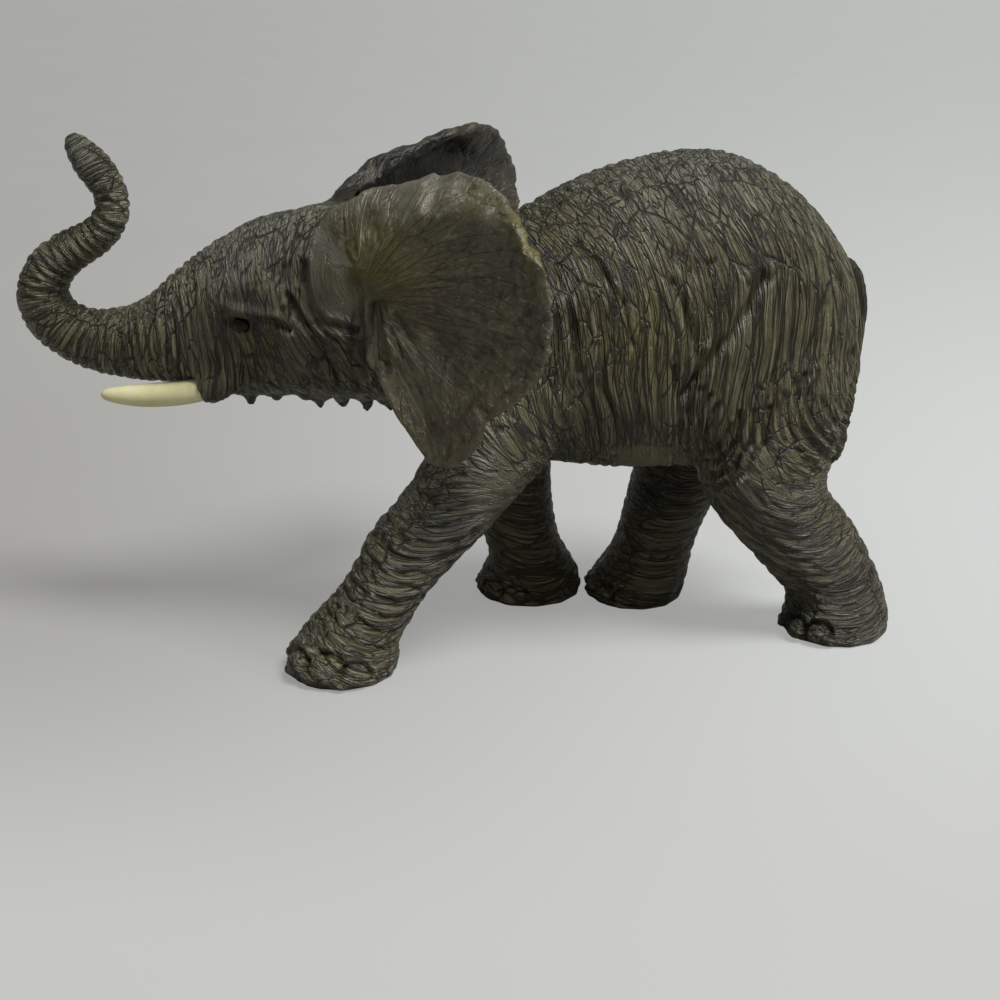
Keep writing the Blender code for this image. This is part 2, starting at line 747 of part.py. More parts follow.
def ribbed_line(line, pitch, rib):
    """Points of a line spaced half a pitch apart, with the radius rising and falling by the rib's height."""
    spacing = pitch / RINGS_PER_RIB
    made = [line[0]]
    travelled = 0.0
    count = 0
    for (a, _), (b, radius) in zip(line, line[1:]):
        travelled += (b - a).length
        if travelled >= spacing * (count + 1):
            count += 1
            crest = 1 if count % RINGS_PER_RIB else -1
            made.append((b, radius + crest * rib * min(1.0, radius / (RIB_FADE_RADII * rib))))
    if (made[-1][0] - line[-1][0]).length > spacing / RINGS_PER_RIB:
        made.append(line[-1])
    return made


def line_rings(line, sides, width_share=1.0):
    """Round sections square to a line that lies in the middle plane."""
    made = []
    for index, (place, radius) in enumerate(line):
        ahead = line[min(index + 1, len(line) - 1)][0]
        behind = line[max(index - 1, 0)][0]
        along = (ahead - behind).normalized()
        across = along.cross(Vector((0, 1, 0))).normalized()
        made.append(
            [
                place
                + across * (radius * math.cos(2 * math.pi * side / sides))
                + Vector((0, radius * width_share * math.sin(2 * math.pi * side / sides), 0))
                for side in range(sides)
            ]
        )
    return made


def make_trunk(finish, parts, cutters, turn):
    """The raised trunk, ringed with ribs, with a plug at its root and two nostrils at its tip."""
    line = ribbed_line(trunk_line(), TRUNK_RIB_PITCH, TRUNK_RIB_HEIGHT)
    root = line[0][0]
    plug_end = root - (line[1][0] - root).normalized() * TRUNK_PLUG_LENGTH
    plug = line_rings([(plug_end, TRUNK_PLUG_RADIUS), (root, TRUNK_PLUG_RADIUS)], TRUNK_SIDES)
    trunk = loft("trunk", [*plug, *line_rings(line, TRUNK_SIDES)], finish, parts, turn)
    tip, tip_radius = line[-1]
    along = (tip - line[-3][0]).normalized()
    for side in (-1, 1):
        bm = bmesh.new()
        aim = along.to_track_quat("Z", "Y").to_matrix().to_4x4()
        place = Matrix.Translation(tip + Vector((0, side * tip_radius * NOSTRIL_SPREAD_SHARE, 0)))
        bmesh.ops.create_cone(
            bm, cap_ends=True, segments=8, radius1=NOSTRIL_RADIUS, radius2=NOSTRIL_RADIUS,
            depth=NOSTRIL_DEPTH, matrix=place @ aim,
        )
        nostril = mesh_object(f"nostril_{'left' if side < 0 else 'right'}", bm, finish, cutters, turn)
        boolean(trunk, as_helper(nostril), "DIFFERENCE")
    return trunk


def outline_reach(bearing):
    """How far the ear reaches from its root at a bearing, in degrees."""
    rows = [*EAR_OUTLINE_SHARES, (EAR_OUTLINE_SHARES[0][0] + 360, EAR_OUTLINE_SHARES[0][1])]
    return EAR_REACH * row_at(rows, bearing)[1]


def ear_bearings():
    """The bearings of the ear's spokes: close together where it stands clear of the head, else few."""
    first, last = EAR_OUTLINE_SHARES[0][0], EAR_FRONT_DEGREES
    clear = [first + (last - first) * step / EAR_SPOKES for step in range(EAR_SPOKES)]
    rest = first + 360 - last
    return [*clear, *(last + rest * step / EAR_TENON_SPOKES for step in range(EAR_TENON_SPOKES))]


def ear_profile(bearing):
    """The path of the ear's sheet from its root to its rim at a bearing, as (reach, offset) over its reach.

    The sheet dips towards the head, comes out again, and towards the top rolls over to the head's side.
    """
    away = abs(bearing - EAR_CREST_DEGREES) / EAR_CREST_SPAN_DEGREES
    top = math.cos(math.pi / 2 * min(1.0, away))
    roll = math.radians(EAR_CURL_DEGREES) * top
    cup = math.radians(EAR_CUP_DEGREES) * (1 - top)
    path = [(0.0, 0.0)]
    for low, high in zip((0.0, *EAR_RING_SHARES), EAR_RING_SHARES):
        share = (low + high) / 2
        bend = max(0.0, (share - 0.5) / 0.5)
        angle = -roll * bend**1.3 - cup * math.cos(math.pi * share)
        reach, offset = path[-1]
        path.append((reach + (high - low) * math.cos(angle), offset + (high - low) * math.sin(angle)))
    farthest = max(reach for reach, _ in path)
    return [(reach / farthest, offset / farthest) for reach, offset in path[1:]]


def make_ear(name, side, finish, parts, turn):
    """One ear: a cupped sheet with a rolled top and a ruffled rim, and a tenon that plugs into the head."""
    key = "left" if side < 0 else "right"
    bm = bmesh.new()
    middle = bm.verts.new((0, 0, 0))
    spokes = []
    for bearing in ear_bearings():
        angle = math.radians(bearing)
        length = outline_reach(bearing) * EAR_SIZE_SHARES[key]
        tenon = EAR_TENON_DEPTH * max(0.0, math.cos(math.radians(bearing - EAR_TENON_DEGREES))) ** 2
        ruffle = EAR_RUFFLE * math.sin(angle * EAR_RUFFLES) * max(0.0, math.cos(angle)) ** 0.5
        row = []
        for share, (reach, offset) in zip(EAR_RING_SHARES, ear_profile(bearing)):
            out = length * offset - tenon * share + ruffle * share**3
            row.append(
                bm.verts.new(
                    (length * reach * math.cos(angle), side * out, length * reach * math.sin(angle))
                )
            )
        spokes.append(row)
    for row, after in zip(spokes, [*spokes[1:], spokes[0]]):
        bm.faces.new((middle, row[0], after[0]))
        for ring in range(len(EAR_RING_SHARES) - 1):
            bm.faces.new((row[ring], row[ring + 1], after[ring + 1], after[ring]))
    ear = mesh_object(name, bm, finish, parts, turn)
    sheet = ear.modifiers.new("Sheet", "SOLIDIFY")
    sheet.thickness = EAR_THICKNESS
    sheet.offset = 0.0
    along, up, out = EAR_PLACE_SHARES
    ear.location = head_point(along, up, side * out)
    ear.location.x -= EAR_ADVANCE * EAR_ADVANCE_SHARES[key]
    flare = side * math.radians(EAR_FLARE_DEGREES[key])
    roll = -side * math.radians(EAR_ROLL_DEGREES[key])
    ear.rotation_euler = (roll, -math.radians(EAR_RAISE_DEGREES[key]), flare)
    return ear


def make_tusk(name, side, finish, parts, turn):
    """One tusk, turned about its own curved line, with a root that plugs into the lip."""
    line = []
    for along, radius in smooth_rows(TUSK_PROFILE_SHARES, 2):
        rise = TUSK_RISE * max(0.0, along) ** 2 + TUSK_ROOT_RISE * max(0.0, along / TUSK_PROFILE_SHARES[0][0])
        reach = TUSK_LENGTH * along if along > 0 else TUSK_ROOT_LENGTH * along / -TUSK_PROFILE_SHARES[0][0]
        line.append((Vector((-reach, 0, rise)), TUSK_RADIUS * radius))
    tusk = loft(name, line_rings(line, TUSK_SIDES), finish, parts, turn)
    along, up, out = TUSK_PLACE_SHARES
    tusk.location = head_point(along, up, side * out)
    tusk.rotation_euler = (0, -math.radians(TUSK_DROOP_DEGREES), -side * math.radians(TUSK_SPREAD_DEGREES))
    return tusk


def make_sheath(tusk, side, finish, cutters, turn):
    """The collar of lip round a tusk's root."""
    radius = TUSK_RADIUS + SHEATH_WALL
    line = [
        (Vector((SHEATH_LENGTH * back, 0, SHEATH_LENGTH * up)), radius * share)
        for back, up, share in SHEATH_SHARES
    ]
    sheath = loft(f"sheath_{side}", line_rings(line, TUSK_SIDES), finish, cutters, turn)
    sheath.location = tusk.location
    sheath.rotation_euler = tusk.rotation_euler
    return as_helper(sheath)


def head_side(along_share, height_share):
    """How far out the head's plain surface lies at a place, before its swells."""
    rows = smooth_rows(HEAD_STATION_SHARES, HEAD_RINGS_PER_SPAN)
    _, top, bottom, wide, widest = row_at(rows, along_share)
    reach = (top - widest) if height_share > widest else (widest - bottom)
    flat = max(0.0, 1 - ((height_share - widest) / reach) ** 2)
    return HEAD_WIDTH / 2 * wide * math.sqrt(flat)


def make_eye(name, side, finish, parts, turn):
    """One glossy eye bead."""
    bm = bmesh.new()
    bmesh.ops.create_uvsphere(bm, u_segments=10, v_segments=6, radius=EYE_RADIUS)
    eye = mesh_object(name, bm, finish, parts, turn)
    along, up = EYE_PLACE_SHARES
    eye.location = head_point(along, up, 0)
    eye.location.y = side * (head_side(along, up) - EYE_DEPTH)
    return eye


def make_lid(eye, side, finish, cutters, turn):
    """The ring of lid round an eye bead, to join to the head."""
    bm = bmesh.new()
    major = EYE_RADIUS * LID_SHARE
    rings = []
    for step in range(LID_STEPS):
        angle = 2 * math.pi * step / LID_STEPS
        out = Vector((math.cos(angle), 0, math.sin(angle) * LID_OPENING))
        rings.append(
            [
                out * (major + LID_RADIUS * math.cos(2 * math.pi * k / LID_SIDES))
                + Vector((0, LID_RADIUS * math.sin(2 * math.pi * k / LID_SIDES), 0))
                for k in range(LID_SIDES)
            ]
        )
    rows = bridge(bm, rings, closed=False)
    for k in range(LID_SIDES):
        after = (k + 1) % LID_SIDES
        bm.faces.new((rows[-1][k], rows[-1][after], rows[0][after], rows[0][k]))
    lid = mesh_object(f"lid_{'left' if side < 0 else 'right'}", bm, finish, cutters, turn)
    along, up = EYE_PLACE_SHARES
    lid.location = (eye.location.x, side * (head_side(along, up) + LID_RADIUS / 2), eye.location.z)
    lid.rotation_euler.z = side * math.radians(FACE_TAPER_DEGREES)
    return as_helper(lid)


def make_skin_fold(name, along_share, bottom_share, size, finish, cutters, turn):
    """A pointed fold of skin that hangs from the throat or the jaw, to join to it."""
    root = head_point(along_share, bottom_share, 0) + Vector((0, 0, DEWLAP_SINK))
    bm = bmesh.new()
    bmesh.ops.create_cone(
        bm, cap_ends=True, segments=6, radius1=DEWLAP_TIP_SHARE * DEWLAP_WIDTH / 2,
        radius2=DEWLAP_WIDTH / 2, depth=DEWLAP_HEIGHT * size,
        matrix=Matrix.Translation(root - Vector((0, 0, DEWLAP_HEIGHT * size / 2))),
    )
    return as_helper(mesh_object(name, bm, finish, cutters, turn))


def add_dewlap(head, jaw, finish, cutters, turn):
    """Joins the row of pointed folds to the throat, and on to the jaw."""
    rows = smooth_rows(HEAD_STATION_SHARES, HEAD_RINGS_PER_SPAN)
    for index, along in enumerate(THROAT_FOLD_SHARES):
        size = 1 - DEWLAP_SIZE_STEP * (index % 2)
        bottom = row_at(rows, along)[2]
        fold = make_skin_fold(f"throat_fold_{index}", along, bottom, size, finish, cutters, turn)
        boolean(head, fold, "UNION")
    start, height = JAW_PLACE_SHARES
    for index, share in enumerate(JAW_FOLD_SHARES):
        along = start + share * JAW_LENGTH / HEAD_LENGTH
        bottom = height + row_at(JAW_STATION_SHARES, share)[2] * JAW_HEIGHT / HEAD_HEIGHT
        size = 1 - DEWLAP_SIZE_STEP * (1 - index % 2)
        fold = make_skin_fold(f"jaw_fold_{index}", along, bottom, size, finish, cutters, turn)
        boolean(jaw, fold, "UNION")


def make_jaw(finish, parts, turn):
    """The lower jaw, with a pointed lip."""
    rings = []
    for along, top, bottom, wide in smooth_rows(JAW_STATION_SHARES, 2):
        rings.append(
            egg_ring(
                -JAW_LENGTH * along, JAW_HEIGHT * top, JAW_HEIGHT * bottom, JAW_WIDTH / 2 * wide,
                JAW_HEIGHT * (top + bottom) / 2, JAW_SIDES,
            )
        )
    jaw = loft("lower_jaw", rings, finish, parts, turn)
    along, up = JAW_PLACE_SHARES
    jaw.location = head_point(along, up, 0)
    return jaw


def make_tail(finish, parts, figure):
    """The tail, hanging against the rump, ribbed down to its tuft."""
    line = [
        (Vector((TAIL_LENGTH * back, 0, TAIL_LENGTH * up)), TAIL_RADIUS * radius)
        for back, up, radius in smooth_rows(TAIL_STATION_SHARES, TRUNK_SMOOTH_STEPS)
    ]
    tuft = [
        (Vector((TAIL_LENGTH * back, 0, TAIL_LENGTH * up)), TUFT_RADIUS * radius)
        for back, up, radius in smooth_rows(TUFT_STATION_SHARES, 2)
    ]
    root = (line[0][0] + Vector((-TAIL_ROOT_LENGTH, 0, TAIL_ROOT_LENGTH / 2)), TAIL_RADIUS)
    ribs = [root, *ribbed_line(line, TAIL_RIB_PITCH, TAIL_RIB_HEIGHT), *tuft]
    tail = loft("tail", line_rings(ribs, TAIL_SIDES), finish, parts, figure)
    along, up = TAIL_PLACE_SHARES
    tail.location = torso_point(along, up, 0)
    return tail


def stand_on_origin(figure, pieces):
    """Moves the figure so that the middle of its box's floor is the origin."""
    bpy.context.view_layer.update()
    graph = bpy.context.evaluated_depsgraph_get()
    corners = []
    for piece in pieces:
        solid = piece.evaluated_get(graph)
        mesh = solid.to_mesh()
        corners += [solid.matrix_world @ vertex.co for vertex in mesh.vertices]
        solid.to_mesh_clear()
    low = [min(corner[axis] for corner in corners) for axis in range(3)]
    high = [max(corner[axis] for corner in corners) for axis in range(3)]
    figure.location = (-(low[0] + high[0]) / 2, -(low[1] + high[1]) / 2, -low[2])


def main():
    """Builds the figure."""
    clear_scene()
    parts = new_collection("Toy elephant figure")
    cutters = new_collection("Cutters")
    skin = painted("skin", SKIN, 0.62)
    ear_skin = painted("ear_skin", EAR_SKIN, 0.55)
    ivory = painted("ivory", IVORY, 0.42)
    eye_black = painted("eye_black", EYE_BLACK, 0.12)

    figure = link(bpy.data.objects.new("figure", None), parts)
    turn = link(bpy.data.objects.new("head_turn", None), parts, figure)
    turn.location = (NECK_STATION, 0, BACK_HEIGHT * NECK_HEIGHT_SHARE)
    turn.rotation_euler = (math.radians(HEAD_TILT_DEGREES), 0, math.radians(HEAD_TURN_DEGREES))

    torso = make_torso(skin, parts, figure)
    legs = [make_leg(leg, skin, parts, cutters, figure) for leg in leg_list()]
    tail = make_tail(skin, parts, figure)
    head = make_head(skin, parts, turn)
    trunk = make_trunk(skin, parts, cutters, turn)
    jaw = make_jaw(skin, parts, turn)
    ears, tusks, eyes = [], [], []
    for side, word in ((-1, "left"), (1, "right")):
        ears.append(make_ear(f"ear_{word}", side, ear_skin, parts, turn))
        tusks.append(make_tusk(f"tusk_{word}", side, ivory, parts, turn))
        eyes.append(make_eye(f"eye_{word}", side, eye_black, parts, turn))
        boolean(head, make_sheath(tusks[-1], side, skin, cutters, turn), "UNION")
        boolean(head, make_lid(eyes[-1], side, skin, cutters, turn), "UNION")
    add_dewlap(head, jaw, skin, cutters, turn)

    for leg in legs[:2]:
        socket(leg, head, cutters)
    for plug in (*legs, tail, head):
        socket(torso, plug, cutters)
    for plug in (trunk, jaw, *ears, *tusks, *eyes):
        socket(head, plug, cutters)
    stand_on_origin(figure, (torso, *legs, tail, head, trunk, jaw, *ears, *tusks, *eyes))


main()
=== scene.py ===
"""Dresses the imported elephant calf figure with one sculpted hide, ivory tusks and glossy eye beads.

The CAD castings are swollen a little, joined and remeshed into one blank, so that their seams close. The
blank is smoothed, creased along the flow of the skin, and parted again into one closed piece per casting.
Lengths here are in millimetres of the figure's own frame (mid-plane at y = 0), and go to metres of the row
frame only when a mesh is written.
"""

import itertools
import logging
import math
from dataclasses import dataclass
from enum import Enum

import bmesh
import bpy
import numpy as np
from mathutils import Euler, Matrix, Vector
from mathutils.bvhtree import BVHTree

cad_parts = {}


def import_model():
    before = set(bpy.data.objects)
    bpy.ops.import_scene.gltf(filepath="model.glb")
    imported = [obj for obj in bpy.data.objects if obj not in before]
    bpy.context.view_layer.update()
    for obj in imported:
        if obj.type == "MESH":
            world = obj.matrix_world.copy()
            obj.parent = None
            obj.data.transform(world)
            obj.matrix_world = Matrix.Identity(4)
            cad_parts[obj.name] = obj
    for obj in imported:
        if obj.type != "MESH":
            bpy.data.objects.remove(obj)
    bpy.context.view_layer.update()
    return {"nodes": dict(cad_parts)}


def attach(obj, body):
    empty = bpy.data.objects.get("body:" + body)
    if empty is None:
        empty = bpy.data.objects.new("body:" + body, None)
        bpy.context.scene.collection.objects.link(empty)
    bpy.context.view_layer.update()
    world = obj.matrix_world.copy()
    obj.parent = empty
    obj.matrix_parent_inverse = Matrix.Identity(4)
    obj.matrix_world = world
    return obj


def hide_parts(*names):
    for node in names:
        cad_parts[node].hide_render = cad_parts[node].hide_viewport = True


LOG = logging.getLogger("figure")
MM = 0.001
FIGURE_SHIFT = np.array((30.4462, -5.3057, 0.0))
VOXEL = 0.47
SWELL = 0.30
FOOT_HEIGHT = 14.0
MERGE = 0.002
NOISE_PRIMES = (73856093, 19349663, 83492791)

Colour = tuple[float, float, float, float]
Path = tuple[tuple[float, float], ...]
Place = tuple[float, float, float]


class Region(Enum):
    """The CAD nodes that share the hide."""

    TORSO = "torso"
    HEAD = "head"
    TRUNK = "trunk"
    JAW = "lower_jaw"
    EAR_LEFT = "ear_left"
    EAR_RIGHT = "ear_right"
    TAIL = "tail"
    FORE_LEFT = "foreleg_left"
    FORE_RIGHT = "foreleg_right"
    HIND_LEFT = "hindleg_left"
    HIND_RIGHT = "hindleg_right"


REGIONS = tuple(Region)
EARS = (Region.EAR_LEFT, Region.EAR_RIGHT)
LEGS = (Region.FORE_LEFT, Region.FORE_RIGHT, Region.HIND_LEFT, Region.HIND_RIGHT)


class Paint(Enum):
    """The channels of the painted masks: olive and umber tint, dark paint that mostly stands as painted
    shade, and painted light.
    """

    OLIVE = 0
    UMBER = 1
    DARK_PAINT_AND_SHADE = 2
    PAINTED_LIGHT = 3


@dataclass(frozen=True)
class CentreLine:
    """The middle of a limb, as points."""

    points: tuple[Place, ...]


@dataclass(frozen=True)
class Groove:
    """A line drawn on the photograph's frame, its width and depth in mm; a negative depth raises it."""

    pixels: Path
    width: float
    depth: float
    regions: tuple[Region, ...]


@dataclass(frozen=True)
class Crease:
    """One family of long creases: its pattern, turn, spacing, length, width and depth."""

    seed: int
    turn: float
    across: float
    along: float
    width: float
    depth: float


@dataclass(frozen=True)
class LegFold:
    """The folds round one leg: between which heights they lie, how deep and how far apart they are."""

    region: Region
    low: float
    high: float
    depth: float
    pitch: float


@dataclass(frozen=True)
class Nail:
    """A toenail drawn on the photograph's frame."""

    pixel: tuple[float, float]
    radii: tuple[float, float]
    region: Region


@dataclass(frozen=True)
class Spot:
    """A soft patch of paint drawn on the photograph's frame; the dark patches are mostly painted shade and
    the light ones painted light.
    """

    pixel: tuple[float, float]
    radii: tuple[float, float]
    amount: float
    paint: Paint
    regions: tuple[Region, ...]


@dataclass(frozen=True)
class Bare:
    """A patch of the hide that is left smoother, on the photograph's frame."""

    pixel: tuple[float, float]
    radii: tuple[float, float]
    turn: float
    regions: tuple[Region, ...]
    amount: float


@dataclass(frozen=True)
class Lens:
    """The photograph's camera, in the figure's frame."""

    place: Place = (-67.2953, -320.7548, 148.0)
    turn_degrees: Place = (70.0, 0.0, -8.0)
    focal: float = 55.404
    sensor: float = 36.0
    frame_px: float = 1000.0

    def pixels(self, points: np.ndarray) -> np.ndarray:
        """Where points fall on the photograph.

        Args:
            points: Places in the figure's frame.

        Returns:
            Their pixel columns and rows.
        """
        turn = np.array(Euler([math.radians(a) for a in self.turn_degrees]).to_matrix())
        local = (points - np.array(self.place)) @ turn
        scale = self.frame_px * self.focal / self.sensor / -local[:, 2]
        half = self.frame_px / 2
        return np.stack((half + local[:, 0] * scale, half - local[:, 1] * scale), axis=1)

    def make(self) -> bpy.types.Object:
        """Adds the camera to the scene.

        Returns:
            The camera object.
        """
        data = bpy.data.cameras.new("photo_camera")
        data.lens = self.focal
        data.sensor_width = self.sensor
        data.clip_start = 0.01
        camera = bpy.data.objects.new("photo_camera", data)
        camera.location = Vector((np.array(self.place) + FIGURE_SHIFT) * MM)
        camera.rotation_euler = [math.radians(a) for a in self.turn_degrees]
        bpy.context.scene.collection.objects.link(camera)
        bpy.context.scene.camera = camera
        return camera


LENS = Lens()
PIXELS_PER_MM = 4.66
NECK = np.array((-35.0, 0.0, 75.0))
HEAD_TURN = math.radians(-15.0)
EYE = np.array((-39.7, 14.0, -2.0))
TEMPLE = np.array((-37.0, 11.0, 11.0))
EAR_ROOT = np.array((-14.1, 16.0, 4.2))
TUSK_ROOT = np.array((-50.0, 9.0, -18.0))
TUSK_REACH = 3.2

TRUNK_LINE = CentreLine(
    (
        (-56.0, 0.0, -7.6), (-60.4, 0.0, -8.7), (-64.6, 0.0, -9.7), (-69.5, 0.0, -10.3), (-76.3, 0.0, -10.2),
        (-81.8, 0.0, -8.5), (-86.6, 0.0, -5.3), (-88.4, 0.0, -0.9), (-86.9, 0.0, 4.3), (-82.9, 0.0, 8.6),
        (-77.8, 0.0, 11.4), (-73.3, 0.0, 14.3), (-70.7, 0.0, 18.3), (-70.4, 0.0, 22.1), (-71.8, 0.0, 25.7),
        (-74.0, 0.0, 28.6), (-75.9, 0.0, 31.3), (-77.9, 0.0, 34.9),
    )
)
LEG_LINES = {
    Region.FORE_LEFT: CentreLine(
        (
            (-59.0, -18.5, 0.0), (-59.0, -18.5, 3.0), (-58.1, -18.5, 6.0), (-55.4, -18.3, 10.1),
            (-52.2, -18.2, 13.9), (-48.6, -17.8, 20.0), (-45.2, -17.5, 25.1), (-41.2, -17.1, 29.4),
            (-35.2, -16.5, 35.8), (-29.7, -15.8, 43.3), (-23.3, -14.5, 52.0), (-18.2, -13.6, 61.4),
            (-14.8, -13.0, 69.4),
        )
    ),
    Region.FORE_RIGHT: CentreLine(
        (
            (-12.4, 18.5, 0.0), (-12.4, 18.5, 9.6), (-14.4, 17.8, 13.9), (-16.7, 17.1, 24.4),
            (-18.2, 16.0, 34.7), (-19.0, 14.9, 44.9), (-18.5, 14.0, 54.5), (-17.3, 13.3, 64.1),
            (-16.4, 13.0, 71.0),
        )
    ),
    Region.HIND_LEFT: CentreLine(
        (
            (53.0, -13.25, 0.0), (53.0, -13.25, 5.6), (52.2, -13.25, 10.4), (50.3, -13.2, 14.2),
            (47.7, -13.2, 18.3), (44.7, -13.2, 22.2), (41.4, -13.3, 26.0), (38.3, -13.4, 30.0),
            (36.3, -13.5, 33.7), (34.7, -13.4, 40.1), (34.3, -13.2, 48.6), (35.3, -13.0, 58.2),
            (35.9, -12.1, 65.7), (35.9, -10.0, 71.0),
        )
    ),
    Region.HIND_RIGHT: CentreLine(
        (
            (12.3, 13.25, 0.0), (13.6, 13.25, 5.6), (15.6, 13.25, 9.3), (16.8, 13.25, 13.1),
            (18.2, 13.25, 18.7), (20.0, 13.25, 24.2), (23.4, 13.25, 35.2), (27.5, 13.3, 44.9),
            (31.4, 13.1, 55.0), (33.6, 12.3, 63.0), (34.6, 10.1, 68.9),
        )
    ),
}
LEG_RING_START = {
    Region.FORE_LEFT: 62.0, Region.FORE_RIGHT: 70.0, Region.HIND_LEFT: 100.0, Region.HIND_RIGHT: 92.0,
}

STROKES: dict[Region, tuple[Path, ...]] = {
    Region.TORSO: (
        ((587, 312), (576, 274), (556, 243), (525, 226)),
        ((614, 329), (602, 286), (575, 250), (534, 225)),
        ((633, 346), (623, 303), (599, 264), (568, 233), (539, 219)),
        ((654, 360), (645, 312), (623, 269), (592, 233), (561, 209)),
        ((666, 346), (657, 308), (635, 267), (609, 233), (578, 200)),
        ((686, 384), (678, 334), (659, 288), (633, 245), (599, 202), (585, 180)),
        ((688, 370), (688, 322), (676, 279), (654, 233), (626, 192), (611, 171)),
        ((698, 353), (688, 312), (674, 284), (664, 250), (645, 207), (635, 164)),
        ((702, 341), (712, 298), (710, 260), (693, 221), (674, 178), (664, 154)),
        ((717, 317), (719, 279), (712, 240), (702, 202), (688, 159)),
        ((686, 396), (702, 370), (731, 336), (748, 308), (765, 279)),
        ((688, 384), (719, 346), (736, 312), (750, 279), (736, 238), (712, 178), (705, 156)),
        ((750, 327), (762, 298), (770, 264), (755, 221), (731, 166)),
        ((770, 336), (774, 298), (782, 264), (774, 226), (750, 178)),
        ((779, 346), (791, 298), (796, 260), (784, 209), (770, 180)),
        ((803, 358), (808, 310), (813, 264), (806, 231), (791, 192)),
        ((827, 346), (830, 298), (830, 255), (813, 212)),
        ((849, 358), (851, 312), (846, 274), (832, 233)),
        ((578, 370), (574, 334), (566, 298), (558, 264), (544, 243)),
        ((580, 449), (585, 406), (578, 358)),
        ((623, 452), (616, 418), (599, 382), (597, 346), (590, 312)),
        ((654, 452), (650, 418), (628, 382), (623, 346)),
        ((676, 449), (674, 418), (666, 382), (662, 346)),
        ((566, 442), (558, 406), (556, 370), (563, 322)),
        ((534, 442), (532, 406), (542, 380)),
        ((712, 471), (695, 447), (698, 418), (710, 396), (726, 375)),
        ((688, 473), (686, 447), (686, 413), (695, 389)),
        ((760, 471), (743, 461), (736, 430), (743, 399), (760, 370)),
        ((839, 449), (820, 432), (808, 406), (806, 377)),
        ((830, 459), (810, 440), (798, 413), (796, 384)),
        ((815, 471), (801, 454), (789, 425), (786, 394)),
        ((844, 430), (830, 416), (820, 394), (818, 372)),
    ),
    Region.HIND_LEFT: (
        ((837, 483), (802, 515), (758, 523), (727, 499)),
        ((839, 503), (809, 534), (770, 538), (739, 515)),
        ((841, 519), (817, 550), (782, 554), (748, 531)),
        ((857, 531), (829, 562), (798, 570), (762, 546)),
        ((872, 546), (841, 578), (813, 586), (778, 566)),
        ((884, 570), (857, 594), (825, 597), (790, 582)),
        ((890, 597), (861, 613), (829, 613), (790, 597)),
    ),
    Region.FORE_LEFT: (
        ((490, 499), (447, 531), (404, 534), (380, 523)),
        ((483, 527), (439, 550), (400, 554), (368, 538)),
        ((467, 542), (435, 566), (396, 568), (364, 554)),
        ((455, 562), (427, 578), (392, 582), (359, 570)),
        ((443, 578), (416, 594), (384, 596), (353, 582)),
        ((431, 594), (408, 609), (376, 609), (345, 594)),
        ((420, 609), (396, 625), (361, 621), (333, 601)),
        ((408, 629), (384, 641), (349, 633), (317, 609)),
        ((400, 649), (372, 657), (337, 645), (305, 617)),
        ((553, 475), (522, 483), (490, 464), (459, 448)),
        ((522, 507), (490, 495), (455, 483), (424, 479)),
    ),
    Region.FORE_RIGHT: (
        ((561, 519), (530, 525), (494, 519)),
        ((569, 542), (530, 550), (492, 538)),
        ((573, 566), (530, 574), (487, 566)),
        ((581, 586), (534, 592), (485, 584)),
    ),
    Region.HIND_RIGHT: (
        ((699, 464), (664, 471), (628, 464)),
        ((695, 499), (660, 505), (622, 495)),
        ((691, 527), (656, 533), (618, 523)),
        ((685, 554), (648, 558), (605, 546)),
        ((683, 574), (644, 580), (593, 570)),
    ),
    Region.HEAD: (
        ((181, 369), (178, 343), (176, 317), (174, 291), (176, 274)),
        ((160, 361), (159, 326), (157, 291)),
        ((207, 369), (207, 343), (204, 317), (205, 291), (207, 274), (202, 253)),
        ((219, 361), (226, 336), (225, 317), (226, 304), (219, 283), (219, 260), (219, 243)),
        ((247, 387), (254, 361), (258, 336)),
        ((271, 383), (271, 357), (271, 331)),
        ((289, 383), (285, 357), (280, 330)),
        ((303, 387), (297, 357), (287, 330)),
        ((271, 302), (270, 281), (271, 260), (271, 222)),
        ((285, 309), (284, 283), (287, 260), (297, 246), (299, 222)),
        ((303, 302), (303, 274), (306, 257), (316, 246), (322, 222)),
        ((330, 395), (320, 369), (306, 343), (294, 326), (285, 309)),
        ((344, 394), (334, 369), (316, 347), (303, 323), (292, 298)),
        ((362, 387), (344, 357), (323, 336), (310, 312), (303, 284)),
        ((355, 331), (323, 323), (310, 307), (303, 284), (304, 264), (315, 246)),
        ((247, 305), (247, 291), (247, 274), (247, 253), (254, 225)),
        ((231, 305), (228, 281), (226, 257), (231, 236)),
        ((375, 395), (358, 369), (349, 343)),
        ((228, 395), (230, 378), (231, 357)),
        ((202, 401), (207, 385), (214, 369)),
    ),
}
STROKE_SOURCES = {
    Region.TAIL: (Region.TORSO,),
    Region.JAW: (Region.HEAD,),
    Region.HIND_LEFT: (Region.HIND_LEFT, Region.TORSO),
    Region.FORE_LEFT: (Region.FORE_LEFT, Region.TORSO),
}

